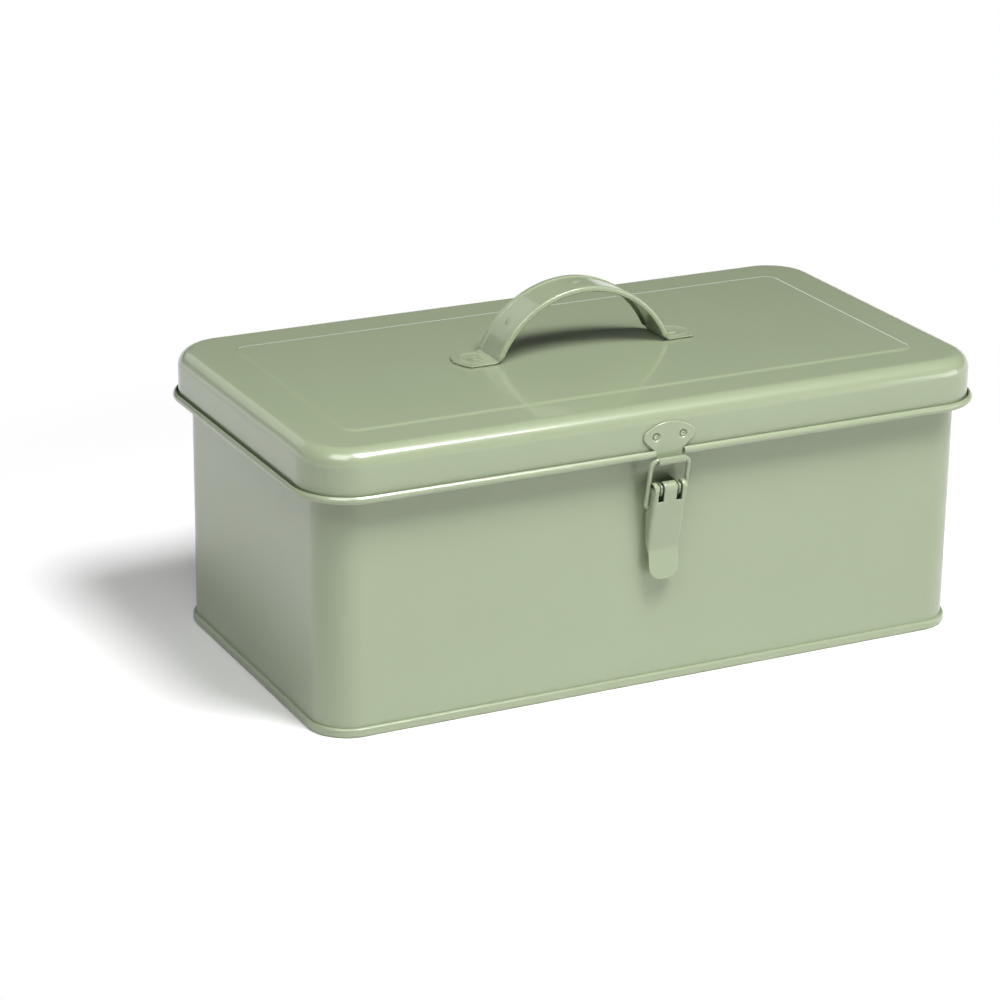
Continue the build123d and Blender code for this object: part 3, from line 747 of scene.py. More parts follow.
@dataclass(frozen=True)
class Dividers:
    """The sheets that part the inside: one along the box, and short ones across it."""

    case: Case
    height: float = 92.0
    count: int = 3
    sheet: float = 0.8
    slot: float = 1.4
    end_tab: float = 9.0
    tab_bend: float = 1.2
    scoop: float = 14.0
    scoop_points: int = 25
    end_gap: float = 0.5
    long_hold: float = 0.4
    cross_hold: float = 0.5

    @property
    def places(self) -> np.ndarray:
        """Where the short dividers stand along the box."""
        pitch = 2 * (self.case.half_length - self.case.sheet) / (self.count + 1)
        return (np.arange(self.count) - (self.count - 1) / 2) * pitch

    @property
    def levels(self) -> tuple[float, float, float]:
        """Where a sheet starts, ends and passes through another, less the half circle of its rim."""
        floor, half = self.case.floor_height, self.sheet / 2
        return floor + half, floor + self.height - half, floor + self.height / 2 + half

    @property
    def slot_edges(self) -> np.ndarray:
        """A slot's two edges, less the half circles of its rims."""
        return (self.slot + self.sheet) / 2 * np.array((-1, 1))

    def build(self) -> None:
        """All the dividers."""
        self.build_long()
        for number in range(self.count):
            self.build_cross(number)

    def build_long(self) -> None:
        """A sheet along the box, slotted from above, with a tab folded at each end."""
        half, hold = self.sheet / 2, self.long_hold
        low, high, middle = self.levels
        end = self.case.half_length - self.case.sheet - half
        tab = self.end_tab - half
        bent = rounded([(-end, tab, 0), (-end, 0, self.tab_bend), (end, 0, self.tab_bend), (end, tab, 0)])
        on_plate = np.abs(bent[:, 1]) < SAME_PLACE
        slots = self.places[:, None] + self.slot_edges
        along = in_order(bent[on_plate, 0], slots.ravel(), digits=6)
        left = bent[:np.argmax(on_plate)]
        plate = np.stack((along, np.zeros(len(along))), 1)
        path = np.concatenate((left, plate, left[::-1] * (-1, 1)))
        heights = np.array((low, low + hold, middle - hold, middle, high - hold, high))
        face = np.stack(np.broadcast_arrays(path[:, :1], path[:, 1:], heights), -1)
        normal = np.pad(left_of(path), ((0, 0), (0, 1)))
        normal = np.broadcast_to(normal[:, None], face.shape)
        centre = (path[:-1, :1] + path[1:, :1]) / 2
        slotted = np.any((centre > slots[:, 0]) & (centre < slots[:, 1]), 1)
        above = (heights[:-1] + heights[1:]) / 2 > middle
        sheet = pressed_sheet(face + normal * half, normal, self.sheet, ~(slotted[:, None] & above))
        add_piece("long_divider_sheet", sheet, Body.CASE, ENAMEL, ["long_divider"])

    def build_cross(self, number: int) -> None:
        """A sheet across the box, slotted from below, with a scoop for the fingers on each side.

        The upper edge lies at top - sqrt(R^2 - d^2) within the scoop's radius R, where d is the
        distance across from the middle of a row of packets.
        """
        half, hold = self.sheet / 2, self.cross_hold
        low, top, middle = self.levels
        row = self.case.half_width / 2
        end = self.case.half_width - self.case.sheet - self.end_gap - half
        radius = self.scoop + half
        scoop = row - radius * np.cos(np.linspace(0, math.pi, self.scoop_points))
        spread = np.linspace(-end + 2 * hold, end - 2 * hold, 12)
        ends = (-end, -end + hold, end - hold, end)
        across = in_order(scoop, -scoop, self.slot_edges, ends, spread)
        rim = top - np.sqrt(np.maximum(radius**2 - (np.abs(across) - row) ** 2, 0))
        share = np.array((0, 0.1, 0.5, 0.9, 1))
        lower = np.broadcast_to(low + (middle - low) * share, (len(across), len(share)))
        upper = middle + (rim[:, None] - middle) * share[1:]
        heights = np.concatenate((lower, upper), 1)
        face = np.stack(np.broadcast_arrays(self.places[number] + half, across[:, None], heights), -1)
        normal = np.broadcast_to(np.array((1.0, 0, 0)), face.shape)
        slotted = np.abs(across[:-1] + across[1:]) / 2 < self.slot_edges[1]
        below = np.arange(heights.shape[1] - 1) < len(share) - 1
        sheet = pressed_sheet(face, normal, self.sheet, ~(slotted[:, None] & below))
        name = f"cross_divider_{number + 1}"
        add_piece(f"{name}_sheet", sheet, Body.CASE, ENAMEL, [name])


@dataclass(frozen=True)
class Lid:
    """The lid: a rounded edge, a panel pressed up a little and an open curl round the skirt."""

    case: Case
    standoff: float = 6.2
    skirt_depth: float = 21.2
    edge: float = 7.6
    curl_bore: float = 0.86
    curl_lip: float = 1.35
    curl_gap: float = 0.75
    lip_slope: float = 1.04
    lip_bend: float = 0.7
    rim_round: float = 0.4
    rim_out: float = 0.72
    rim_up: float = 0.69
    bend_up: float = 0.42
    panel_inset: float = 25.0
    panel_rise: float = 0.52
    panel_slope: float = 16.0
    panel_corner: float = 6.0
    flat_reach: float = 3.0
    step_reach: float = 4.0
    strike_notch: float = 14.3
    hinge_notch: float = 20.2
    hinge_spacing: float = 190.0

    @property
    def curl_height(self) -> float:
        """How high the curl's middle is."""
        return self.case.closed_height - self.skirt_depth

    @property
    def panel_top(self) -> float:
        """How high the panel is."""
        return self.case.closed_height + self.panel_rise

    def panel_rings(self, columns: RingColumns, profile: np.ndarray) -> np.ndarray:
        """Rings at (distance outward from the panel's edge, height) points of a profile."""
        grow, height = profile[:, 0], profile[:, 1]
        half_length = self.case.half_length + self.standoff - self.panel_inset + grow
        half_width = self.case.half_width + self.standoff - self.panel_inset + grow
        return columns.rings(half_length, half_width, self.panel_corner + grow, height)

    def panel_step(self, inner: float, outer: float) -> np.ndarray:
        """The soft step round the panel: two arcs that each turn by the slope A and meet midway.

        The arcs' radius is the step's height / (2 (1 - cos A)), and their corners lie on either side of
        the middle by half of that radius times sin A / cos^2 (A / 2). A hundredth of the radius is left
        out, so that the arcs don't overlap.
        """
        slope, reach = math.radians(self.panel_slope), self.step_reach
        radius = abs(outer - inner) / (2 * (1 - math.cos(slope)))
        corner = radius * math.sin(slope) / (2 * math.cos(slope / 2) ** 2)
        return rounded([(-reach, inner, 0), (-corner, inner, radius * 0.99),
                        (corner, outer, radius * 0.99), (reach, outer, 0)], turn_step=2)

    def build(self) -> None:
        """The lid's shell: rings down its outside, round its curl and up its inside.

        The curl's lip rises and leans in towards the skirt. Its outer side is its inner side moved out
        by the sheet, in shares of the sheet for the rim and for the bend.
        """
        sheet, out, top = self.case.sheet, self.standoff, self.case.closed_height
        middle, bore, reach = self.curl_height, self.curl_bore, self.flat_reach
        bottom, mouth = middle - bore, out + 2 * bore
        tip_out, tip, rim = out + self.curl_gap, middle + self.curl_lip, sheet * self.rim_round
        cheek = tip - (mouth - tip_out) * self.lip_slope
        strike = self.strike_notch / 2
        columns = self.case.columns((-strike, strike), four_places(self.hinge_spacing, self.hinge_notch))
        panel_above = self.panel_step(self.panel_top, top)
        outside = rounded([(-reach, top, 0), (out, top, self.edge), (out, middle, 0)], turn_step=6)
        curl = rounded([
            (out, middle, 0), (out, bottom, bore), (mouth, bottom, bore), (mouth, cheek, self.lip_bend),
            (tip_out, tip, rim), (tip_out + sheet * self.rim_out, tip + sheet * self.rim_up, rim),
            (mouth + sheet, cheek + sheet * self.bend_up, self.lip_bend + sheet),
            (mouth + sheet, bottom - sheet, bore + sheet), (out - sheet, bottom - sheet, bore + sheet),
            (out - sheet, middle, 0),
        ], turn_step=15)[1:-1]
        inside = rounded([(out - sheet, middle, 0), (out - sheet, top - sheet, self.edge - sheet),
                          (-reach, top - sheet, 0)])
        panel_below = self.panel_step(self.panel_top - sheet, top - sheet)[::-1]
        rings = np.concatenate((
            self.panel_rings(columns, panel_above),
            self.case.offset_rings(columns, np.concatenate((outside, curl, inside))),
            self.panel_rings(columns, panel_below),
        ))
        start = len(panel_above) + len(outside) - 1
        shell = self.notched(rings, start, start + len(curl) + 1)
        add_piece("lid_cup", shell, Body.LID, ENAMEL, ["lid_shell"])

    def notched(self, rings: np.ndarray, start: int, end: int) -> Shape:
        """The lid's rings as a closed shell whose curl is cut away at the strike and the hinges.

        Between the rings start and end lies the curl. Its cells are left out over each notch, where one
        cell closes the skirt's lower edge instead, and a cap closes the curl beside each notch.

        Args:
            rings: All the rings, (rings, columns, 3).
            start: The ring at the skirt's outer lower edge.
            end: The ring at the skirt's inner lower edge.

        Returns:
            The closed shell.
        """
        count, wide = rings.shape[:2]
        quads = grid_quads(count, wide, wrap_columns=True)
        x, y = rings[start, :, 0], rings[start, :, 1]
        middle = np.abs(x + np.roll(x, -1)) / 2
        cut = (y < 0) & (np.roll(y, -1) < 0) & (middle < self.strike_notch / 2)
        at_hinge = np.abs(middle - self.hinge_spacing / 2) < self.hinge_notch / 2
        cut |= (y > 0) & (np.roll(y, -1) > 0) & at_hinge
        keep = np.ones((count - 1, wide), bool)
        keep[start:end] = ~cut
        here = np.flatnonzero(cut)
        onward = (here + 1) % wide
        upper, lower = start * wide, end * wide
        edge = np.stack((upper + here, upper + onward, lower + onward, lower + here), 1)
        borders = np.flatnonzero(cut != np.roll(cut, 1))
        ends = [np.arange(start, end + 1) * wide + column for column in borders]
        caps = [np.arange(wide), np.arange(wide) + (count - 1) * wide, *ends]
        return Shape(rings.reshape(-1, 3), np.concatenate((quads[keep], edge)), caps).compact()


@dataclass(frozen=True)
class Handle:
    """A strap bent to an arch, its long edges turned down, on two feet with rounded ends."""

    lid: Lid
    sheet: float = 1.1
    width: float = 21.5
    arch: float = 47.0
    rise: float = 30.7
    foot_reach: float = 6.2
    foot_tip: float = 60.6
    tip_radius: float = 15.0
    tip_points: int = 20
    tip_least: float = 0.3
    foot_points: int = 26
    tip_gap: float = 0.4
    heel_gap: float = 0.3
    heel_room: float = 1.2
    lip: float = 1.5
    shift: float = 1.0
    rim_width: float = 3.6
    rim_slope: float = 0.9
    rim_height: float = 0.5
    bend: float = 1.8
    leg_straight: float = 3.5
    edge: float = 1.0
    foot_edge: float = 0.25
    fold_low: float = 0.2
    fold_high: float = 3.0
    ring_radius: float = 7.3
    ring_width: float = 0.7
    ring_height: float = 0.28
    dish_radius: float = 4.2
    dish_depth: float = 0.25
    pip_angles: tuple[float, ...] = (-45.5, 0.0)
    pip_height: float = 0.7
    pip_radius: float = 1.2
    across_points: int = 81
    head: RivetHead = RivetHead(3.1, 0.32, 1.5, 0.18)

    @property
    def foot_top(self) -> float:
        """How high the feet's upper side is."""
        return self.lid.panel_top + self.sheet

    @property
    def arch_centre(self) -> float:
        """How high the arch's centre is."""
        return self.lid.panel_top + self.rise - self.arch

    @property
    def foot_centre(self) -> float:
        """How far from the middle the rivets are."""
        return math.sqrt(self.arch**2 - (self.foot_top - self.arch_centre) ** 2) + self.foot_reach

    def over_lid(self, across: Places, along: Places, height: Places) -> np.ndarray:
        """Points in space from places across the strap, along the lid and up."""
        return np.stack(np.broadcast_arrays(along, self.shift + across, height), -1)

    def path(self) -> np.ndarray:
        """The strap's upper side in the (x, z) plane, from the left foot's tip to the right one's.

        The legs leave the arch's circle a little before the feet and go on straight, so each turns into
        its foot by the angle at which the circle would meet it, less the straightening.
        """
        foot, crown, centre = self.foot_top, self.arch_centre + self.arch, self.foot_centre
        slope = math.acos((foot - self.arch_centre) / self.arch) - math.radians(self.leg_straight)
        shoulder = self.arch * math.tan(slope / 2)
        heel = shoulder + (crown - foot) / math.tan(slope)
        last = math.degrees(math.asin((self.width - self.sheet) / 2 / self.tip_radius))
        tips = end_places(-self.foot_tip, self.tip_radius, first=2, steps=self.tip_points, last=last)
        arch = rounded([(-centre, foot, 0), (-heel, foot, self.bend), (-shoulder, crown, self.arch),
                        (shoulder, crown, self.arch), (heel, foot, self.bend), (centre, foot, 0)],
                       turn_step=1.0)
        arch = arch[np.abs(arch[:, 0]) < heel + self.heel_room]
        between = np.linspace(tips[-1] + self.tip_gap, arch[0, 0] - self.heel_gap, self.foot_points)
        flat = np.concatenate((tips, between))
        start = np.stack((flat, np.full(len(flat), foot)), 1)
        return np.concatenate((start, arch, start[::-1] * (-1, 1)))

    def build(self) -> None:
        """The strap and its two rivets."""
        self.build_strap()
        places = [self.over_lid(0.0, side * self.foot_centre, self.foot_top) for side in (-1, 1)]
        rivets = self.head.set_at(places, (0, 0, 1))
        add_piece("handle_rivet_heads", rivets, Body.LID, ENAMEL, ["handle_rivets"])

    def build_strap(self) -> None:
        """The strap as a sheet whose long edges curve down, most on the arch and not at all on the feet.

        Its sections are folded_edges with a low rim pressed up along both sides of the arch. On the feet
        the rim and the lip's cells are left out, the width follows a shallow arc at the tips, and a ring
        round a dish, h exp(-((d - R) / w)^2) - k exp(-(d / r)^4), is embossed at each rivet.
        """
        half = self.sheet / 2
        path = self.path()
        x, z = path.T
        beyond = np.maximum(np.abs(x) - (self.foot_tip - self.tip_radius), 0)
        on_arch = smooth_step(z, self.foot_top + self.fold_low, self.foot_top + self.fold_high)
        radius = self.foot_edge + (self.edge - self.foot_edge) * on_arch
        reach = self.width / 2 - half + half * on_arch
        width = np.minimum(reach, np.sqrt(np.maximum(self.tip_radius**2 - beyond**2, self.tip_least)))
        depth = radius + (self.lip + half - self.edge) * on_arch
        flat = (width - radius)[:, None] * np.linspace(-1, 1, self.across_points)
        lip_share = np.array((0.5, 1.0))
        across, down, tilt = folded_edges(width, radius, depth, flat, lip_share)
        distance = np.hypot(np.abs(x)[:, None] - self.foot_centre, across)
        ring = self.ring_height * np.exp(-(((distance - self.ring_radius) / self.ring_width) ** 2))
        dish = self.dish_depth * np.exp(-((distance / self.dish_radius) ** 4))
        on_foot = (left_of(path)[:, 1] > LEVEL) & (z < self.foot_top + self.fold_low / 2)
        rim_start = self.width / 2 - self.rim_width
        rim = self.rim_height * smooth_step(np.abs(across), rim_start, rim_start + self.rim_slope)
        down = down - (ring - dish) * on_foot[:, None] - rim * on_arch[:, None] - self.pips(path, across)
        bare = np.minimum(on_arch[:-1], on_arch[1:]) < NO_FOLD
        lips = outer_cells(across.shape[1] - 1, len(lip_share))
        strap = bent_sheet(path, 1, across, down, tilt, self.sheet, self.over_lid, ~(bare[:, None] & lips))
        add_piece("handle_strap_bent", strap, Body.LID, ENAMEL, ["handle_strap"])

    def pips(self, path: np.ndarray, across: np.ndarray) -> np.ndarray:
        """Small pressed pips on the arch, as round bumps h exp(-(d / r)^2)."""
        angle = np.arctan2(path[:, 0], path[:, 1] - self.arch_centre)
        rise = np.zeros_like(across)
        for place in self.pip_angles:
            along = (angle - math.radians(place))[:, None] * self.arch
            rise += self.pip_height * np.exp(-(along**2 + across**2) / self.pip_radius**2)
        return rise * (path[:, 1:] > self.foot_top + self.fold_high)


@dataclass(frozen=True)
class DrawLatch:
    """The latch: a strike plate with its hook, a wire bail, and a lever on a base."""

    lid: Lid
    strike_sheet: float = 1.0
    shoulder: float = 14.2
    rivet_rise: float = 7.7
    head_drop: float = 7.2
    shoulder_round: float = 3.2
    waist_round: float = 3.0
    crown: float = 6.6
    crown_rows: float = 6.2
    crown_points: int = 44
    crown_trim: float = 1.05
    neck: float = 13.3
    rivet_spacing: float = 13.3
    hook_gap: float = 2.5
    hook_drop: float = 2.7
    hook_lip: float = 1.6
    hook_room: float = 0.2
    dish_radius: float = 2.15
    dish_depth: float = 0.75
    dish_floor: float = 0.66
    row_step: float = 0.3
    hold: float = 0.4
    rim_hold: float = 0.25
    across_points: int = 81
    strike_head: RivetHead = RivetHead(1.3, 0.5, 0.6, 0.18)
    pin_out: float = 7.2
    pin_height: float = 94.5
    pin_radius: float = 1.5
    pin_half: float = 7.3
    knuckle: float = 3.0
    knuckle_end: float = 1.5
    lever_sheet: float = 1.0
    lever_half: float = 8.0
    lever_edge: float = 0.25
    heel_out: float = 4.7
    heel_drop: float = 29.5
    heel_bend: float = 9.0
    face_steps: tuple[float, float] = (0.6, 0.8)
    tip_out: float = 6.2
    tip_drop: float = 43.5
    tip_radius: float = 6.3
    flange_out: float = 1.4
    flange_grow: float = 3.0
    flange_start: float = 2.0
    flange_end: float = 6.0
    flange_lap: float = 0.6
    pin_blend: tuple[float, float] = (2.5, 0.5)
    slot_room: float = 0.15
    slot_depth: float = 5.6
    tongue_half: float = 3.2
    slot_outer: float = 5.8
    press_radius: float = 1.4
    pivot_out: float = 4.1
    pivot_drop: float = 9.0
    wire: float = 2.0
    wire_corner: float = 3.4
    wire_end: float = 1.4
    wire_through: float = 0.4
    side_gap: float = 0.35
    base_sheet: float = 1.2
    base_half: float = 5.6
    base_foot_drop: float = 33.0
    base_foot_corner: float = 4.5
    base_top_corner: float = 0.8
    base_edge: float = 0.4
    base_rivet_drops: tuple[float, ...] = (12.5, 26.5)
    ear_sheet: float = 0.6
    ear_edge: float = 0.3
    ear_root: float = 0.3
    ear_gap: float = 0.4
    ear_drop: float = 5.6

    @property
    def case(self) -> Case:
        """The case that the latch is on."""
        return self.lid.case

    @property
    def hook_height(self) -> float:
        """How high the hook's middle is."""
        return self.lid.curl_height - self.hook_drop

    @property
    def bar_out(self) -> float:
        """How far out from the wall the bail's bar lies."""
        return self.lid.standoff + self.strike_sheet + self.hook_gap / 2

    @property
    def rivet_height(self) -> float:
        """How high the strike's rivets are."""
        return self.lid.curl_height + self.rivet_rise

    @property
    def lever_tip(self) -> float:
        """How high the lever's tip is, less the half circle of its rim."""
        return self.pin_height - self.tip_drop + self.lever_sheet / 2

    @property
    def lever_heel(self) -> float:
        """How high the lever's bend is."""
        return self.pin_height - self.heel_drop

    @property
    def slot_low(self) -> float:
        """How high the knuckle's slots start, less the half circle of their rims."""
        return self.pin_height - self.slot_depth - self.lever_sheet / 2

    @property
    def wrap_height(self) -> float:
        """How high the lever's face starts to wrap round the pin."""
        return self.pin_height - self.row_step

    def front(self, across: Places, out: Places, height: Places) -> np.ndarray:
        """Points in space from places across, out from the front wall and up."""
        return np.stack(np.broadcast_arrays(across, -self.case.half_width - out, height), -1)

    def build(self) -> None:
        """Every piece of the latch."""
        self.build_strike()
        self.build_lever()
        self.build_bail()
        self.build_base()

    def strike_width(self, height: np.ndarray) -> np.ndarray:
        """Half the strike plate's width at some heights, less the rounded rim.

        The outline is an arc of the crown's circle, whose radius is (s^2 + c^2) / 2c for a half width s
        and a rise c, then a rounded shoulder, a slanted side, a rounded waist and the straight neck. It
        is drawn in along its normals by half the sheet.
        """
        shoulder = self.rivet_height
        circle = (self.shoulder**2 + self.crown**2) / (2 * self.crown)
        reach = math.asin(self.shoulder / circle) - self.crown_trim * self.shoulder_round / circle
        turn = math.pi / 2 - np.linspace(0, reach, 30)
        top = np.pad(arc((0, shoulder + self.crown - circle), circle, turn), ((0, 0), (0, 1)))
        outline = rounded([*top, (self.shoulder, shoulder, self.shoulder_round),
                           (self.neck / 2, shoulder - self.head_drop, self.waist_round),
                           (self.neck / 2, shoulder - 2 * self.head_drop, 0)])
        inset = outline - left_of(outline) * self.strike_sheet / 2
        return np.interp(height, inset[::-1, 1], np.maximum(inset[::-1, 0], self.hold))

    def build_strike(self) -> None:
        """The strike: a fan-shaped plate whose neck runs down and rolls outward to a hook.

        Its face is a line in the (out, up) plane given the width of its outline, and sinks to a flat
        dish round each rivet by a smooth step of the distance from it.
        """
        half, inner = self.strike_sheet / 2, self.hook_gap / 2
        out = self.lid.standoff + self.strike_sheet
        crown = end_places(self.rivet_height + self.crown - half, -self.crown_rows, 2, self.crown_points)
        straight = np.arange(crown[-1] - self.row_step, self.hook_height + self.hook_room, -self.row_step)
        plate = np.concatenate((crown, straight))
        hook = arc((self.bar_out, self.hook_height), inner, np.linspace(math.pi, math.tau, 19))
        lip = self.hook_height + self.hook_lip - half
        path = np.concatenate((
            np.stack((np.full(len(plate), out), plate), 1), hook,
            [(self.bar_out + inner, lip - self.hold), (self.bar_out + inner, lip)],
        ))
        on_plate = np.arange(len(path)) < len(plate)
        spread = np.where(on_plate, self.strike_width(path[:, 1]), self.neck / 2 - half)[:, None]
        hold = np.minimum(self.rim_hold, spread / 4)
        share = np.linspace(-1, 1, self.across_points)
        across = share * np.where(np.abs(share) < 1, spread - hold, spread)
        drop = np.zeros_like(across)
        for side in (-1, 1):
            distance = np.hypot(across - side * self.rivet_spacing / 2, path[:, 1:] - self.rivet_height)
            drop += 1 - smooth_step(distance, self.dish_radius * self.dish_floor, self.dish_radius)
        drop *= self.dish_depth * on_plate[:, None]
        strike = bent_sheet(path, 1, across, drop, 0 * share, self.strike_sheet, self.front)
        add_piece("strike_plate_pressed", strike, Body.LID, ENAMEL, ["strike_plate"])
        rivets = self.strike_head.set_at(
            [self.front(side * self.rivet_spacing / 2, out - self.dish_depth, self.rivet_height)
             for side in (-1, 1)], (0, -1, 0))
        add_piece("strike_rivet_heads", rivets, Body.LID, ENAMEL, ["strike_rivets"])

    def lever_path(self) -> np.ndarray:
        """The lever's face in the (out, up) plane, from its tip up over the knuckle.

        Above the heel the face leaves at the angle at which it just touches the knuckle's circle.
        """
        heel, tip, slot = self.lever_heel, self.lever_tip, self.slot_low
        top, behind = self.pin_height + self.knuckle, self.pin_out - self.knuckle
        lean = self.pin_out - self.heel_out
        slope = math.atan2(self.heel_drop, lean) - math.asin(self.knuckle / math.hypot(lean, self.heel_drop))
        over = self.heel_out + (top - heel) / math.tan(slope)
        line = rounded([(self.tip_out, tip, 0), (self.heel_out, heel, self.heel_bend),
                        (over, top, self.knuckle), (behind, top, self.knuckle),
                        (behind, self.pin_height - self.knuckle_end, 0)], turn_step=7)
        radius, (near, far) = self.tip_radius - self.lever_sheet / 2, self.face_steps
        stops = np.concatenate((
            end_places(tip, radius, first=9, steps=18),
            np.arange(tip + radius + near, slot - self.hold, far),
            (slot,),
            np.arange(slot + near, self.pin_height - self.hold, near),
        ))
        face_end = int(np.argmax(line[:, 1] > self.wrap_height))
        out = np.interp(stops, line[:face_end, 1], line[:face_end, 0])
        return np.concatenate((np.stack((out, stops), 1), line[face_end:]))

    def build_lever(self) -> None:
        """The lever: a pressed channel with a rounded tip and a rolled knuckle cut by two slots.

        Its sections are folded_edges. The flange grows from nothing at the heel to the depth at which
        it clears the wall, and ends at the knuckle.
        """
        half, pin, heel, grow = self.lever_sheet / 2, self.pin_height, self.lever_heel, self.flange_grow
        path = self.lever_path()
        height = path[:, 1]
        wrapped = np.arange(len(path)) >= np.argmax(height > self.wrap_height)
        end = self.tip_radius - half
        above_tip = np.clip(height - self.lever_tip, 0, end)
        pressed = smooth_step(height, heel - grow, heel + grow)
        width = self.lever_half - self.tip_radius + np.sqrt(end**2 - (end - above_tip) ** 2) + half * pressed
        far, near = self.pin_blend
        near_pin = np.where(wrapped, 1.0, smooth_step(height, pin - far, pin - near))
        radius = self.lever_edge + (self.press_radius - self.lever_edge) * pressed * (1 - near_pin)
        back = np.interp(height, (heel - self.flange_start, heel + grow, pin - self.flange_end, pin), (
            self.heel_out - self.flange_lap, self.flange_out, self.flange_out, self.pin_out - self.knuckle))
        depth = np.where(pressed > NO_FOLD, np.maximum(path[:, 0] - back - half, radius), radius)
        inner = self.lever_stops()
        reach = (width - radius)[:, None]
        squeeze = np.minimum(1, reach / (inner[-1] + self.slot_room))
        flange_share = np.array((0.06, 0.5, 0.94, 1.0))
        flat = np.concatenate((-reach, inner * squeeze, reach), 1)
        across, down, tilt = folded_edges(width, radius, depth, flat, flange_share)
        columns = np.arange(across.shape[1] - 1)
        bare = (pressed[:-1] < NO_FOLD) | wrapped[1:]
        flanges = outer_cells(len(columns), len(flange_share))
        first = FOLD_STEPS + len(flange_share) + 1
        slots = np.isin(columns, (first, first + len(inner) - 2))
        slotted = wrapped[1:] | (height[:-1] > self.slot_low - SAME_PLACE)
        keep = ~(bare[:, None] & flanges) & ~(slotted[:, None] & slots)
        lever = bent_sheet(path, -1, across, down, tilt, self.lever_sheet, self.front, keep)
        add_piece("latch_lever_pressed", lever, Body.LEVER, ENAMEL, ["latch_lever"])

    def lever_stops(self) -> np.ndarray:
        """Places across the lever's flat at which its cells end, from slot to slot over the tongue."""
        half = self.lever_sheet / 2
        tongue, outer = self.tongue_half - half, self.slot_outer + half
        stops = (-outer, outer, -tongue + self.row_step, tongue - self.row_step)
        return in_order(np.linspace(-tongue, tongue, 15), stops)

    def build_bail(self) -> None:
        """The bail: one wire bent to a loop, its ends turned in through the lever's cheeks."""
        pivot_height = self.pin_height - self.pivot_drop
        lean = np.array((0.0, -(self.bar_out - self.pivot_out), self.hook_height - pivot_height))
        length = float(np.linalg.norm(lean))
        up = lean / length
        arm = self.lever_half + self.side_gap + self.wire / 2
        end = self.lever_half - self.lever_sheet - self.wire_through
        line = rounded([(-end, 0, 0), (-arm, 0, self.wire_end), (-arm, length, self.wire_corner),
                        (arm, length, self.wire_corner), (arm, 0, self.wire_end), (end, 0, 0)])
        across = np.array((1.0, 0, 0))
        path = self.front(0.0, self.pivot_out, pivot_height) + line[:, :1] * across + line[:, 1:] * up
        wire = tube(path, np.cross(across, up), self.wire / 2)
        add_piece("latch_bail_wire", wire, Body.BAIL, ENAMEL, ["latch_bail"])

    def build_base(self) -> None:
        """The base: a riveted plate with two ears, and the pin through them."""
        half, pin, root = self.base_half, self.pin_height, self.ear_root
        low, top_corner, foot_corner = pin - self.base_foot_drop, self.base_top_corner, self.base_foot_corner
        outline = rounded([(-half, pin, top_corner), (-half, low, foot_corner),
                           (half, low, foot_corner), (half, pin, top_corner)], closed=True)
        eye = self.knuckle - self.ear_gap
        tip = self.pin_out + eye
        ear = rounded([(root, pin - self.ear_drop, 0), (tip, pin - eye, eye), (tip, pin + eye, eye),
                       (root, pin + eye, 0)], closed=True)
        parts = [slab(outline, 0.0, self.base_sheet, self.base_edge,
                      lambda at, out: self.front(at[:, 0], out, at[:, 1]))]
        for middle in np.array((-0.5, 0.5)) * (self.tongue_half + self.slot_outer):
            parts.append(slab(ear, middle - self.ear_sheet / 2, middle + self.ear_sheet / 2, self.ear_edge,
                              lambda at, x: self.front(np.full(len(at), x), at[:, 0], at[:, 1])))
        add_piece("latch_base_bracket", joined(parts), Body.CASE, ENAMEL, ["latch_base"])
        turned_pin = turned(pin_profile(self.pin_radius, self.pin_half), self.front(0.0, self.pin_out, pin),
                            (1, 0, 0))
        add_piece("latch_pin_turned", turned_pin, Body.CASE, PIN_STEEL, ["latch_pin"])
        rivets = RivetHead().set_at(
            [self.front(0.0, self.base_sheet, pin - drop) for drop in self.base_rivet_drops], (0, -1, 0))
        add_piece("latch_base_rivet_heads", rivets, Body.CASE, ENAMEL, ["latch_base_rivets"])


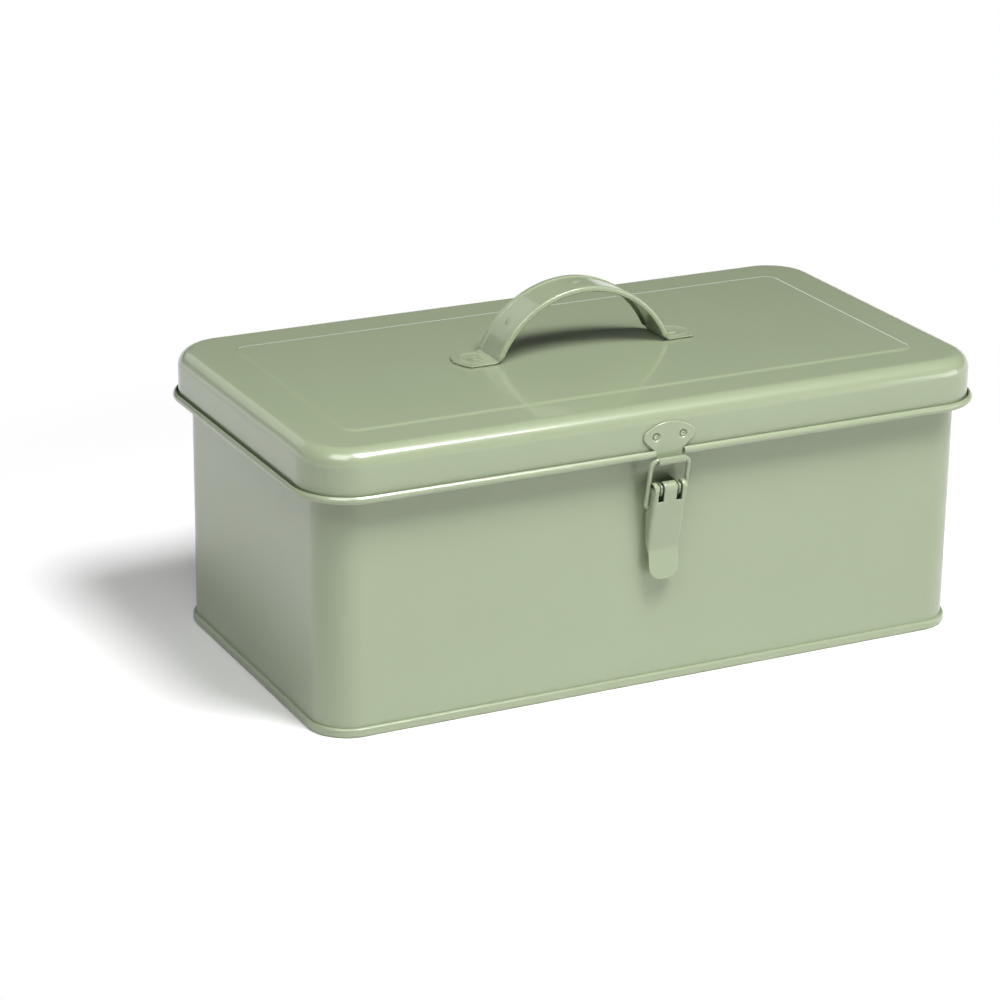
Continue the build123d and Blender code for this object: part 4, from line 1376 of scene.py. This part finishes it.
@dataclass(frozen=True)
class Hinges:
    """The two rear hinges: a leaf on the case, a cranked leaf on the lid, and a pin."""

    lid: Lid
    width: float = 40.0
    sheet: float = 1.0
    pin_radius: float = 1.6
    knuckle: float = 2.7
    middle: float = 19.2
    leaf_drop: float = 24.0
    body_corner: float = 4.0
    lid_corner: float = 3.0
    below_curl: float = 4.8
    above_curl: float = 0.15
    wall_gap: float = 0.35
    edge_gap: float = 0.5
    hold: float = 0.4
    crank_bend: float = 1.0
    crank_start: float = 0.5
    crank_drop: float = 0.6
    crank_knee: float = 1.2
    crank_end: float = 0.3
    body_roll: float = 330.0
    lid_roll: float = 320.0
    eye_points: int = 45
    rivet_spacing: float = 26.0
    rivet_drop: float = 14.9

    @property
    def case(self) -> Case:
        """The case that the hinges are on."""
        return self.lid.case

    @property
    def axis(self) -> tuple[float, float]:
        """The pin's middle, as (out from the wall, height)."""
        return self.knuckle + self.wall_gap, self.lid.curl_height - self.below_curl

    @property
    def lid_leaf_low(self) -> float:
        """How high the lid leaf's plate starts."""
        return self.lid.curl_height + self.lid.curl_lip + self.above_curl + self.edge_gap

    def back(self, across: Places, out: Places, height: Places) -> np.ndarray:
        """Points in space from places across, out from the back wall and up."""
        return np.stack(np.broadcast_arrays(across, self.case.half_width + out, height), -1)

    def leaf(self, centre: float, out: float, tip: float, tab: float, corner: float, bend: np.ndarray,
             edge: float, middle_tab: bool) -> Shape:
        """A leaf: a plate with a rounded end, then a bend round the pin, of which only a tab is metal.

        The face is a line in the (out, up) plane given a width. Near the end half the width is
        w - R + sqrt(R^2 - d^2), with d the distance from the corners' middles.

        Args:
            centre: The leaf's middle, along the box.
            out: How far out from the wall the plate's face is.
            tip: How high the plate's rounded end is, less the half circle of its rim.
            tab: How high the tab starts.
            corner: The radius of the plate's corners.
            bend: The line that the tab follows, (n, 2).
            edge: How far from the leaf's middle the tab's edges are.
            middle_tab: Whether the tab is in the middle, and not one on either side.

        Returns:
            The leaf.
        """
        half, way = self.sheet / 2, math.copysign(1, tab - tip)
        radius, hold = corner - half, way * self.hold
        ends = end_places(tip, way * radius, first=8, steps=10)
        rows = np.concatenate((ends, (ends[-1] + hold, tab - hold, tab)))
        path = np.concatenate((np.stack((np.full(len(rows), out), rows), 1), bend))
        spread = np.full(len(path), self.width / 2 - half)
        spread[:len(ends)] += np.sqrt(np.maximum(radius**2 - (ends[-1] - ends) ** 2, 0)) - radius
        inner = self.middle / 2 - 1
        fixed = in_order((-edge, edge), np.linspace(-inner, inner, 5))
        reach = fixed.max()
        wing = reach + (spread - reach)[:, None] * np.linspace(0, 1, 6)[1:]
        across = np.concatenate((-wing[:, ::-1], np.broadcast_to(fixed, (len(path), len(fixed))), wing), 1)
        cell = (across[1:, :-1] + across[1:, 1:]) / 2
        on_plate = np.arange(len(path) - 1)[:, None] < len(rows) - 1
        keep = on_plate | ((np.abs(cell) < edge) == middle_tab)
        flat = np.zeros_like(across)
        return bent_sheet(path, -way, centre + across, flat, flat[0], self.sheet, self.back, keep)

    def build(self) -> None:
        """Both hinges, left and right."""
        for side, word in ((-1, "left"), (1, "right")):
            centre = side * self.lid.hinge_spacing / 2
            add_piece(f"hinge_{word}_body_leaf_rolled", self.body_leaf(centre), Body.CASE, ENAMEL,
                      [f"hinge_{word}_body_leaf"])
            add_piece(f"hinge_{word}_lid_leaf_rolled", self.lid_leaf(centre), Body.LID, ENAMEL,
                      [f"hinge_{word}_lid_leaf"])
            pin = pin_profile(self.pin_radius, self.width / 2 + self.edge_gap)
            add_piece(f"hinge_{word}_pin_turned", turned(pin, self.back(centre, *self.axis), (1, 0, 0)),
                      Body.CASE, PIN_STEEL, [f"hinge_{word}_pin"])
        self.build_rivets()

    def body_leaf(self, centre: float) -> Shape:
        """The case's leaf: a plate whose two outer tabs roll round the pin from the wall's side."""
        half, height = self.sheet / 2, self.axis[1]
        roll = math.pi - np.linspace(0, math.radians(self.body_roll), self.eye_points)
        eye = arc(self.axis, self.knuckle - self.sheet, roll)
        tab = height - self.knuckle - self.edge_gap - half
        edge = self.middle / 2 + self.edge_gap + half
        return self.leaf(centre, self.sheet, height - self.leaf_drop + half, tab, self.body_corner, eye,
                         edge, middle_tab=False)

    def lid_leaf(self, centre: float) -> Shape:
        """The lid's leaf: a plate whose middle tab cranks inwards and rolls round the pin."""
        half, (out, height) = self.sheet / 2, self.axis
        face, reach = self.lid.standoff + self.sheet, out + self.knuckle
        low, bend = self.lid_leaf_low + half, self.crank_bend
        crank = rounded([
            (face, low - self.crank_start, 0), (face, self.lid.curl_height - self.crank_drop, bend),
            (reach, height + self.crank_knee, bend), (reach, height + self.crank_end, 0),
        ])
        roll = -np.linspace(0, math.radians(self.lid_roll), self.eye_points)
        path = np.concatenate((crank, arc(self.axis, self.knuckle, roll)))
        return self.leaf(centre, face, self.case.closed_height - self.lid.edge - half, low, self.lid_corner,
                         path, self.middle / 2 - half, middle_tab=True)

    def build_rivets(self) -> None:
        """Four rivets in the case's leaves and four in the lid's."""
        head, places = RivetHead(), four_places(self.lid.hinge_spacing, self.rivet_spacing)
        low = self.axis[1] - self.rivet_drop
        high = (self.lid_leaf_low + self.case.closed_height - self.lid.edge) / 2
        on_case = head.set_at([self.back(x, self.sheet, low) for x in places], (0, 1, 0))
        on_lid = head.set_at([self.back(x, self.sheet + self.lid.standoff, high) for x in places], (0, 1, 0))
        add_piece("hinge_body_rivet_heads", on_case, Body.CASE, ENAMEL, ["hinge_body_rivets"])
        add_piece("hinge_lid_rivet_heads", on_lid, Body.LID, ENAMEL, ["hinge_lid_rivets"])


# ------------------------------------------------------------------------------ studio
@dataclass(frozen=True)
class Softbox:
    """A soft area light."""

    name: str
    place: tuple[float, float, float]
    size: tuple[float, float]
    watts: float
    target: tuple[float, float, float] = (0.0, 0.0, 0.08)

    def build(self) -> None:
        """Hangs the light at its place, facing its target."""
        lamp = bpy.data.lights.new(self.name, "AREA")
        lamp.shape = "RECTANGLE"
        lamp.size, lamp.size_y = self.size
        lamp.energy = self.watts
        light = bpy.data.objects.new(self.name, lamp)
        light.location = self.place
        light.rotation_euler = (Vector(self.target) - Vector(self.place)).to_track_quat("-Z", "Y").to_euler()
        bpy.context.scene.collection.objects.link(light)


@dataclass(frozen=True)
class Studio:
    """The photograph's viewpoint, a white floor and soft light."""

    eye: tuple[float, float, float] = (-0.67973, -1.27983, 0.59452)
    yaw: float = 26.662
    pitch: float = 20.322
    roll: float = 0.719
    lens: float = 120.17
    sensor: float = 36.0
    floor_half: float = 6.0
    floor_tone: float = 0.80
    floor_lift: float = 0.035
    fade: tuple[float, float] = (0.27, 0.43)
    ambient: float = 0.05
    glow_top: float = 3.0
    glow_fade: float = 5.0
    lamps: tuple[Softbox, ...] = (
        Softbox("key_light", (0.4, -0.9, 1.82), (0.7, 0.7), 28.8),
        Softbox("near_light", (0.04, -0.375, 0.85), (0.3, 0.3), 3.1),
        Softbox("left_fill", (-0.4, -0.35, 0.75), (0.4, 0.4), 2.9),
        Softbox("left_card", (-0.6, 0.35, 0.25), (0.7, 0.4), 0.32),
        Softbox("right_light", (1.1, -0.9, 0.3), (0.8, 0.5), 4.8),
        Softbox("back_card", (-0.4, 1.36, 0.8), (0.7, 0.5), 0.9),
    )

    def build(self) -> None:
        """Camera, floor, lights and world."""
        self.build_camera()
        self.build_floor()
        for lamp in self.lamps:
            lamp.build()
        self.build_world()
        bpy.context.scene.view_settings.view_transform = "Standard"

    def build_camera(self) -> None:
        """A camera turned by yaw about the vertical, then tipped down and rolled."""
        yaw, pitch, roll = (math.radians(angle) for angle in (self.yaw, self.pitch, self.roll))
        ahead = Vector((math.sin(yaw) * math.cos(pitch), math.cos(yaw) * math.cos(pitch), -math.sin(pitch)))
        right = Vector((math.cos(yaw), -math.sin(yaw), 0))
        up = right.cross(ahead)
        cos, sin = math.cos(roll), math.sin(roll)
        right, up = cos * right + sin * up, cos * up - sin * right
        lens = bpy.data.cameras.new("view_camera")
        lens.lens = self.lens
        lens.sensor_width = self.sensor
        lens.sensor_fit = "HORIZONTAL"
        camera = bpy.data.objects.new("view_camera", lens)
        turn = Matrix((right, up, -ahead)).transposed().to_4x4()
        camera.matrix_world = Matrix.Translation(self.eye) @ turn
        bpy.context.scene.collection.objects.link(camera)
        bpy.context.scene.camera = camera

    def build_floor(self) -> None:
        """A wide white floor that keeps the box's shadow and burns out to white away from it.

        The camera sees a white floor with a little light of its own, and other rays a slightly darker
        one, so that the box isn't lit too strongly from below. From the fade's start to its end, both
        distances from the middle in metres, it turns to even white for the camera and in reflections.
        """
        half = self.floor_half
        mesh = bpy.data.meshes.new("studio_floor")
        corners = [(-half, -half, 0), (half, -half, 0), (half, half, 0), (-half, half, 0)]
        mesh.from_pydata(corners, [], [(0, 1, 2, 3)])
        floor = bpy.data.objects.new("studio_floor", mesh)
        bpy.context.scene.collection.objects.link(floor)
        paper = bpy.data.materials.new("matt_white_paper")
        paper.use_nodes = True
        tree = paper.node_tree
        tree.nodes.clear()
        path = add_node(tree, "ShaderNodeLightPath").outputs
        matt = add_node(tree, "ShaderNodeBsdfDiffuse", inputs={"Color": (*[self.floor_tone] * 3, 1)})
        near = add_node(tree, "ShaderNodeBsdfDiffuse", inputs={"Color": WHITE})
        lift = add_node(tree, "ShaderNodeEmission", inputs={"Color": WHITE, "Strength": self.floor_lift})
        lifted = add_node(tree, "ShaderNodeAddShader", inputs={0: near.outputs[0], 1: lift.outputs[0]})
        shown = add_node(tree, "ShaderNodeMixShader", inputs={
            0: path["Is Camera Ray"], 1: matt.outputs[0], 2: lifted.outputs[0]})
        place = add_node(tree, "ShaderNodeTexCoord").outputs["Object"]
        away = add_node(tree, "ShaderNodeVectorMath", {"operation": "LENGTH"}, {0: place}).outputs["Value"]
        seen = add_node(tree, "ShaderNodeMath", {"operation": "MAXIMUM"}, {
            0: path["Is Camera Ray"], 1: path["Is Glossy Ray"]})
        share = add_node(tree, "ShaderNodeMapRange", {"interpolation_type": "SMOOTHSTEP"}, {
            "Value": away, "From Min": self.fade[0], "From Max": self.fade[1], "To Max": seen.outputs[0]})
        white = add_node(tree, "ShaderNodeEmission", inputs={"Color": WHITE, "Strength": 1.0})
        total = add_node(tree, "ShaderNodeMixShader", inputs={
            0: share.outputs[0], 1: shown.outputs[0], 2: white.outputs[0]})
        add_node(tree, "ShaderNodeOutputMaterial", inputs={"Surface": total.outputs[0]})
        mesh.materials.append(paper)

    def build_world(self) -> None:
        """Faint even light, white to the camera and, just above the floor, in reflections too.

        The strength for a glossy ray falls from 1 to the ambient level between the glow's top and that
        plus its fade, both elevations, by the sine of the ray's elevation.
        """
        world = bpy.data.worlds.new("studio_world")
        world.use_nodes = True
        tree = world.node_tree
        tree.nodes.clear()
        path = add_node(tree, "ShaderNodeLightPath").outputs
        way = add_node(tree, "ShaderNodeTexCoord").outputs["Generated"]
        height = add_node(tree, "ShaderNodeSeparateXYZ", inputs={"Vector": way}).outputs["Z"]
        glow = add_node(tree, "ShaderNodeMapRange", {"interpolation_type": "SMOOTHSTEP"}, {
            "Value": height, "From Min": math.sin(math.radians(self.glow_top)),
            "From Max": math.sin(math.radians(self.glow_top + self.glow_fade)),
            "To Min": 1.0, "To Max": self.ambient})
        mirrored = add_node(tree, "ShaderNodeMix", {"data_type": "FLOAT"}, {
            "Factor": path["Is Glossy Ray"], "A": self.ambient, "B": glow.outputs["Result"]})
        strength = add_node(tree, "ShaderNodeMix", {"data_type": "FLOAT"}, {
            "Factor": path["Is Camera Ray"], "A": mirrored.outputs[0], "B": 1.0})
        light = add_node(tree, "ShaderNodeBackground", inputs={
            "Color": WHITE, "Strength": strength.outputs[0]})
        add_node(tree, "ShaderNodeOutputWorld", inputs={"Surface": light.outputs[0]})
        bpy.context.scene.world = world


def main() -> None:
    """Builds the box's pieces in the order in which they go together, then the studio."""
    logging.basicConfig(level=logging.INFO, format="%(message)s")
    case = Case()
    lid = Lid(case)
    case.build_wall()
    case.build_bottom()
    Dividers(case).build()
    lid.build()
    Handle(lid).build()
    DrawLatch(lid).build()
    Hinges(lid).build()
    Studio().build()


if __name__ == "__main__":
    main()
